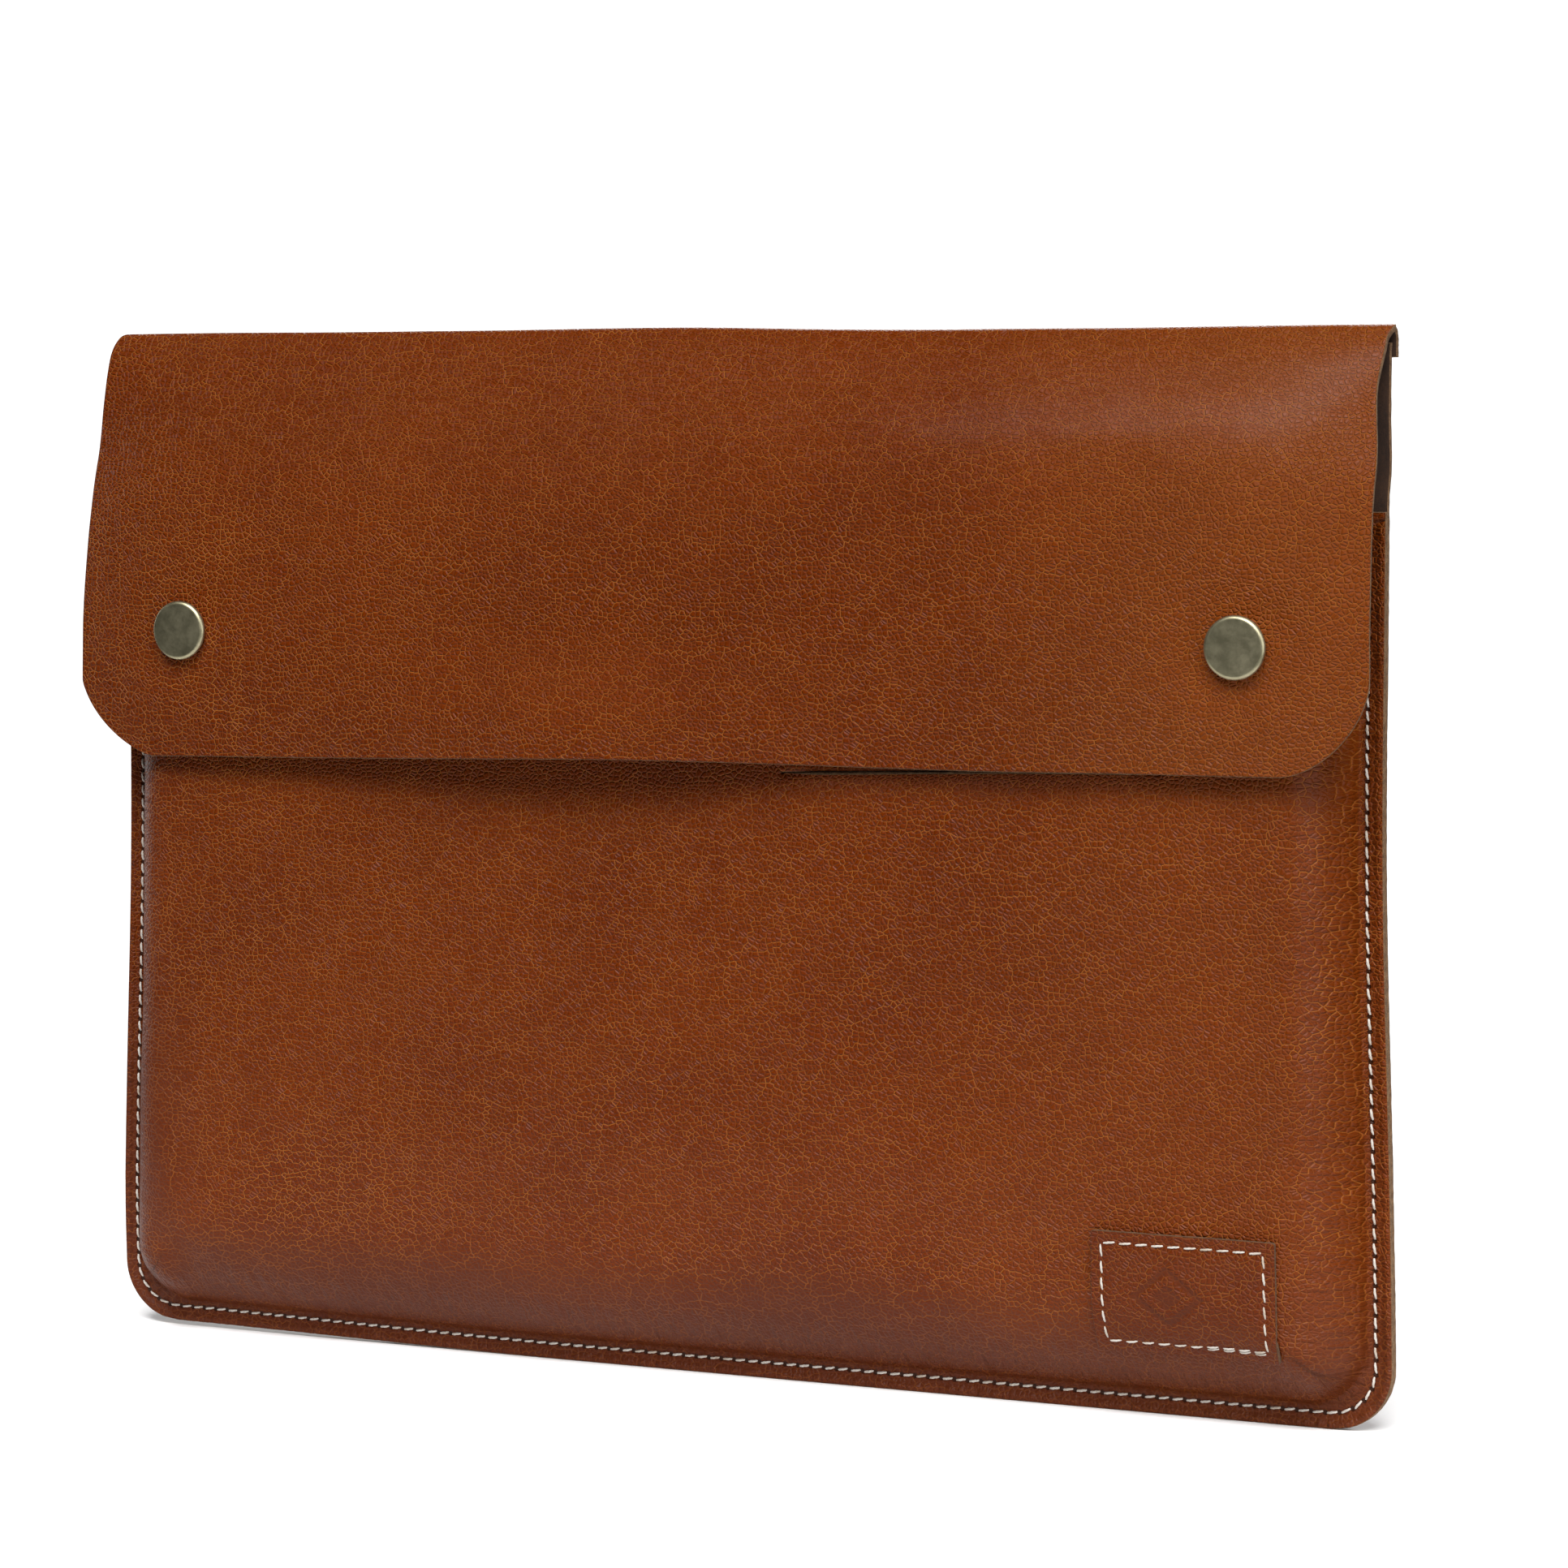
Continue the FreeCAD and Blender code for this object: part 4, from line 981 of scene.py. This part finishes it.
def make_flap_seam():
    """Row that sews the lapped end of the flap to the back panel."""
    count = int(LAP_ROW_HALF / STITCH)
    at = np.arange(-count, count + 1) * STITCH
    needle = straight_stitches(at, -LAP_BACK, LAP_ROW, (0, -1.0, 0))
    bobbin = straight_stitches(at, back_face(at, np.full(at.shape, LAP_ROW)), LAP_ROW, (0, 1.0, 0))
    stitch_rows("flap_seam_needle_stitches", needle, "flap_seam_needle_thread", seed=53)
    stitch_rows("flap_seam_bobbin_stitches", bobbin, "flap_seam_bobbin_thread", width=0.5, seed=54)


def make_pocket_seam():
    """Row above the slit that holds the pocket bag."""
    count = int((SLIT_RIGHT - SLIT_LEFT) / STITCH)
    at = SLIT_LEFT + np.arange(count + 1) * STITCH
    needle = stitches_through([(x, POCKET_ROW) for x in at], bulge)
    bobbin = straight_stitches(at, low("slip_pocket_bag")[1], POCKET_ROW, (0, -1.0, 0))
    stitch_rows("pocket_needle_stitches", needle, "pocket_needle_thread", seed=55)
    stitch_rows("pocket_bobbin_stitches", bobbin, "pocket_bobbin_thread", seed=56)


# ---- Patch: small leather label with a plain pressed lozenge ----
PATCH_DROP = 0.5                               # patch hangs a little lower than in the plain model
PATCH_MIDDLE = ((PATCH_LOW[0] + PATCH_HIGH[0]) / 2, (PATCH_LOW[2] + PATCH_HIGH[2]) / 2 - PATCH_DROP)
PATCH_HALF = ((PATCH_HIGH[0] - PATCH_LOW[0]) / 2, (PATCH_HIGH[2] - PATCH_LOW[2]) / 2 + PATCH_DROP)
PATCH_LEATHER = PATCH_HIGH[1] - PATCH_LOW[1]
PATCH_INSET = 2.8
PATCH_STITCH = 4.1


def pressed_mark(across, up):
    """Plain pressed mark: a lozenge ring round a smaller solid lozenge, 1 where pressed."""
    x = (np.asarray(across) - PATCH_MIDDLE[0] + 4.0) / 9.5
    z = (np.asarray(up) - PATCH_MIDDLE[1] + 0.3) / 7.6
    lozenge = np.abs(x) + np.abs(z)
    ring = ramp(lozenge, 0.70, 0.76) * (1 - ramp(lozenge, 0.96, 1.02))
    return np.maximum(ring, 1 - ramp(lozenge, 0.38, 0.44))


def patch_surface(across, up):
    """Grain side of the patch lying on the front panel."""
    x = (np.asarray(across) - PATCH_MIDDLE[0]) / PATCH_HALF[0]
    z = (np.asarray(up) - PATCH_MIDDLE[1]) / PATCH_HALF[1]
    edge = np.minimum(PATCH_HALF[0] * (1 - np.abs(x)), PATCH_HALF[1] * (1 - np.abs(z)))
    pulled = 0.16 * np.exp(-((edge - PATCH_INSET) / 0.8) ** 2)
    curl = 0.22 * (1 - ramp(edge, 0, 2.2)) * (0.6 + 0.6 * noise(across, up, 12, 61))
    pillow = 0.30 * ramp(edge, 0, 6)
    pressed = 0.20 * pressed_mark(across, up)
    return bulge(across, up) + PATCH_LEATHER + 0.05 + pillow + curl - pulled - pressed


def make_patch():
    """Patch sheet on the front panel, its corners a little rounded."""
    step = 0.4
    rows = graded(-PATCH_HALF[1], PATCH_HALF[1], step, 0.5, (1, 1))
    columns = graded(-1.0, 1.0, step / PATCH_HALF[0], 0.6, (0.1, 0.1))
    corner = 0.8
    rounded = np.clip(corner - (PATCH_HALF[1] - np.abs(rows)), 0, corner)
    half = PATCH_HALF[0] - corner + np.sqrt(np.maximum(corner ** 2 - rounded ** 2, 0))
    across = PATCH_MIDDLE[0] + columns[None, :] * half[:, None]
    up = np.broadcast_to((PATCH_MIDDLE[1] + rows)[:, None], across.shape)
    across = across + (up - PATCH_MIDDLE[1]) * 0.012
    grain = per_point(across * waist(across, up), patch_surface(across, up), up)
    skin = flat_skin(across, up, (51.0, 27.0))
    worn = 0.70 * pressed_mark(across, up) + 0.30
    zone = per_point(worn, np.full(worn.shape, 0.1))
    quads = grid_quads(len(rows), len(columns))
    piece = leather_sheet("patch_leather_piece", grain, quads, skin, PATCH_LEATHERS,
                          thickness=PATCH_LEATHER, zone=zone, seed=34)
    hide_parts("name_patch")
    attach(piece, "sleeve")


def patch_ring():
    """Holes round the patch: corners shared by both rows."""
    half_x, half_z = PATCH_HALF[0] - PATCH_INSET, PATCH_HALF[1] - PATCH_INSET
    count_x, count_z = int(round(2 * half_x / PATCH_STITCH)), int(round(2 * half_z / PATCH_STITCH))
    shares_x, shares_z = 2 * np.arange(count_x) / count_x - 1, 2 * np.arange(count_z + 1) / count_z - 1
    holes = [(half_x * share, -half_z) for share in shares_x]
    holes += [(half_x, half_z * share) for share in shares_z[:-1]]
    holes += [(-half_x * share, half_z) for share in shares_x]
    holes += [(-half_x, -half_z * share) for share in shares_z]
    doubled = tuple(range(count_x - 4, count_x))
    return [(PATCH_MIDDLE[0] + x, PATCH_MIDDLE[1] + z) for x, z in holes], doubled


def make_patch_stitches():
    """Rectangle of stitches; the last four at the lower right are sewn twice."""
    holes, doubled = patch_ring()
    needle = stitches_through(holes, patch_surface, spread=0.4)
    bobbin = stitches_through(holes, lambda a, b: bulge(a, b) - LEATHER, -1)
    stitch_rows("patch_needle_stitches", needle, "patch_needle_thread", width=0.52, seed=57,
                doubled=doubled)
    stitch_rows("patch_bobbin_stitches", bobbin, "patch_bobbin_thread", seed=58)


# ---- Pocket bag ----
def make_pocket_bag():
    """Flat lining bag behind the slit, hemmed along its sides and a little slack."""
    left, rear, bottom = low("slip_pocket_bag")
    right, front, top = high("slip_pocket_bag")
    rows = np.linspace(bottom, top, 48)
    columns = np.linspace(left, right, 60)
    across, up = np.meshgrid(columns, rows)
    edge = np.minimum(np.minimum(across - left, right - across), up - bottom)
    puff = (front - rear) * (0.30 + 0.55 * ramp(edge, 0, 9))
    hem = 0.25 * hump(edge, 3.0, 0.8)
    rear_face = front - puff + hem + 0.15 * noise(across, up, 18, 71)
    quads = grid_quads(len(rows), len(columns), flip=True)
    piece = leather_sheet("pocket_bag_lining", per_point(across, rear_face, up), quads,
                          flat_skin(across, up, (0.0, 0.0)), (LINING,) * 3, thickness=0.5, seed=35)
    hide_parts("slip_pocket_bag")
    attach(piece, "sleeve")


# ---- Press-stud caps, turned as smooth domes; the other press-stud parts keep their CAD shape ----
def make_cap(side, sign):
    """Cap: shallow dome, rounded rim turned under, stem through the leather."""
    node = side + "_snap_cap"
    proud, stem = high(node)[1] - FLAP_FACE, low(node)[1] - FLAP_FACE
    rim = 1.05                                 # radius of the rounded rim
    profile = [(0.001, proud)]
    for share in np.linspace(0.08, 1, 22):
        radius = share * (CAP_RADIUS - rim)
        profile.append((radius, proud - 0.20 * share ** 2.2))
    for turn in np.linspace(0.1, math.pi * 0.94, 20):
        profile.append((CAP_RADIUS - rim + rim * math.sin(turn),
                        proud - 0.20 - (proud - 0.22) / 2 * (1 - math.cos(turn))))
    profile += [(CAP_RADIUS - rim * 1.5, 0.06), (1.32, 0.04), (1.28, 0.0), (1.28, stem + 0.1),
                (1.18, stem), (0.001, stem)]
    profile = np.array(profile)
    around = 96
    angle = np.linspace(0, 2 * math.pi, around, endpoint=False)
    radius, forward = profile[:, 0][:, None], profile[:, 1][:, None]
    x = sign * SNAP_X + radius * np.cos(angle)[None, :]
    z = SNAP_Z + radius * np.sin(angle)[None, :]
    points = world(per_point(x, np.broadcast_to(FLAP_FACE + forward, x.shape), z))
    piece = make_object(side + "_cap_dome", points, tube_faces(len(profile), around), (CAP_BRASS,))
    fix_normals(piece)
    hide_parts(node)
    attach(piece, "flap")


def fix_normals(piece):
    """Close the tips and turn every face outwards."""
    mesh = bmesh.new()
    mesh.from_mesh(piece.data)
    bmesh.ops.remove_doubles(mesh, verts=mesh.verts, dist=2e-6)
    bmesh.ops.recalc_face_normals(mesh, faces=mesh.faces)
    mesh.to_mesh(piece.data)
    mesh.free()
    piece.data.update()


def finish_hardware():
    """Materials for the press-stud parts that keep their CAD shape."""
    for side in ("left", "right"):
        for name, material in (("socket", SNAP_BRASS), ("stud", SNAP_BRASS), ("post", SNAP_BRASS),
                               ("spring", WIRE_STEEL)):
            part = frame["nodes"][side + "_snap_" + name]
            if not part.data.materials:
                part.data.materials.append(material)
            for number in range(len(part.material_slots)):
                part.material_slots[number].material = material


make_back_panel()
make_front_panel()
make_flap()
make_body_seam()
make_flap_seam()
make_pocket_seam()
make_patch()
make_patch_stitches()
make_pocket_bag()
for cap_side, cap_sign in (("left", -1), ("right", 1)):
    make_cap(cap_side, cap_sign)
finish_hardware()


# ---- Studio: pale floor and backdrop, soft lights, camera ----
def plain_material(name, colour, roughness, glow):
    """Matt studio surface with a faint mottling, lit through like a light table."""
    n = Nodes(name)
    cloud = n.noise(n.object_place(), 3.0, 2.0, 0.5)
    tint = n.mix(n.span(cloud, 0.3, 0.7), shade(colour, 0.99), colour)
    return n.finish(tint, Roughness=roughness, Specular_IOR_Level=0.1,
                    Emission_Color=(1.0, 1.0, 1.0, 1.0), Emission_Strength=glow)


def make_stage():
    """Round pale table top."""
    around, rings = 96, np.linspace(0.02, 0.38, 7)
    angle = np.linspace(0, 2 * math.pi, around, endpoint=False)
    points = [(radius * math.cos(turn), radius * math.sin(turn), 0.0) for radius in rings for turn in angle]
    faces = [face[::-1] for face in tube_faces(len(rings), around)[:-1]]
    floor = make_object("studio_floor", points, faces,
                        (plain_material("studio_white", (0.92, 0.92, 0.92), 0.9, 0.06),))


def in_scene(name, data, direction, place=(0.0, 0.0, 0.0)):
    """A light or camera in the scene, facing along a direction."""
    item = bpy.data.objects.new(name, data)
    bpy.context.scene.collection.objects.link(item)
    item.location = place
    item.rotation_euler = look_along(direction)
    return item


def area_light(name, place, target, size, power):
    """Soft rectangular light that faces a target."""
    light = bpy.data.lights.new(name, "AREA")
    light.shape = "RECTANGLE"
    light.size, light.size_y = size
    light.energy = power
    in_scene(name, light, np.array(target) - np.array(place), place)


def towards(azimuth, elevation):
    """Direction from the sleeve to something at an azimuth and elevation in degrees."""
    turn, tilt = math.radians(azimuth), math.radians(elevation)
    return np.array([math.sin(turn) * math.cos(tilt), -math.cos(turn) * math.cos(tilt), math.sin(tilt)])


def look_along(direction):
    """Euler angles that point an object's -Z along a direction, with +Y up."""
    x, y, z = np.asarray(direction, float) / np.linalg.norm(direction)
    return (math.acos(max(-1.0, min(1.0, -z))), 0.0, math.atan2(-x, y))


def make_world(seen, ambient):
    """White surroundings to look at, dim grey ones for light and reflections."""
    world_data = bpy.data.worlds.new("studio_world")
    world_data.use_nodes = True
    nodes, links = world_data.node_tree.nodes, world_data.node_tree.links
    background = nodes["Background"]
    background.inputs["Color"].default_value = (1.0, 1.0, 1.0, 1.0)
    strength = nodes.new("ShaderNodeMapRange")
    strength.inputs["To Min"].default_value = ambient
    strength.inputs["To Max"].default_value = seen
    links.new(nodes.new("ShaderNodeLightPath").outputs["Is Camera Ray"], strength.inputs["Value"])
    links.new(strength.outputs["Result"], background.inputs["Strength"])
    bpy.context.scene.world = world_data


def sun(name, azimuth, elevation, spread, strength):
    """Broad soft light from far away."""
    light = bpy.data.lights.new(name, "SUN")
    light.angle = math.radians(spread)
    light.energy = strength
    in_scene(name, light, -towards(azimuth, elevation))


AZIMUTH, ELEVATION = 25.04, 3.81               # camera angle, degrees
DISTANCE, LENS = 1.13, 106.65                  # metres and millimetres
AIM = (0.02150, 0.0, 0.14850)                  # point that the camera looks at


def make_camera():
    """Camera at the front right, a little above the sleeve's middle."""
    back = towards(AZIMUTH, ELEVATION)
    camera_data = bpy.data.cameras.new("camera")
    camera_data.sensor_width = 36.0
    camera_data.lens = LENS
    camera_data.clip_start, camera_data.clip_end = 0.05, 30.0
    bpy.context.scene.camera = in_scene("camera", camera_data, -back, np.array(AIM) + back * DISTANCE)


make_stage()
make_world(1.2, 0.05)
sun("overhead_sun", 24.0, 52.0, 38.0, 3.98)
area_light("gloss", (-0.30, -1.15, 1.75), (0.12, 0.0, 0.24), (0.6, 0.4), 15.0)
area_light("rear_fill", (-0.35, 1.7, 0.95), (0.0, 0.0, 0.13), (1.2, 0.9), 16.0)
area_light("left_card", (-1.1, 0.35, 0.35), (-0.15, 0.0, 0.12), (0.8, 0.7), 2.6)
area_light("right_card", (1.2, -0.45, 0.35), (0.16, 0.0, 0.12), (0.9, 0.9), 7.0)
make_camera()
bpy.context.scene.view_settings.view_transform = "Standard"
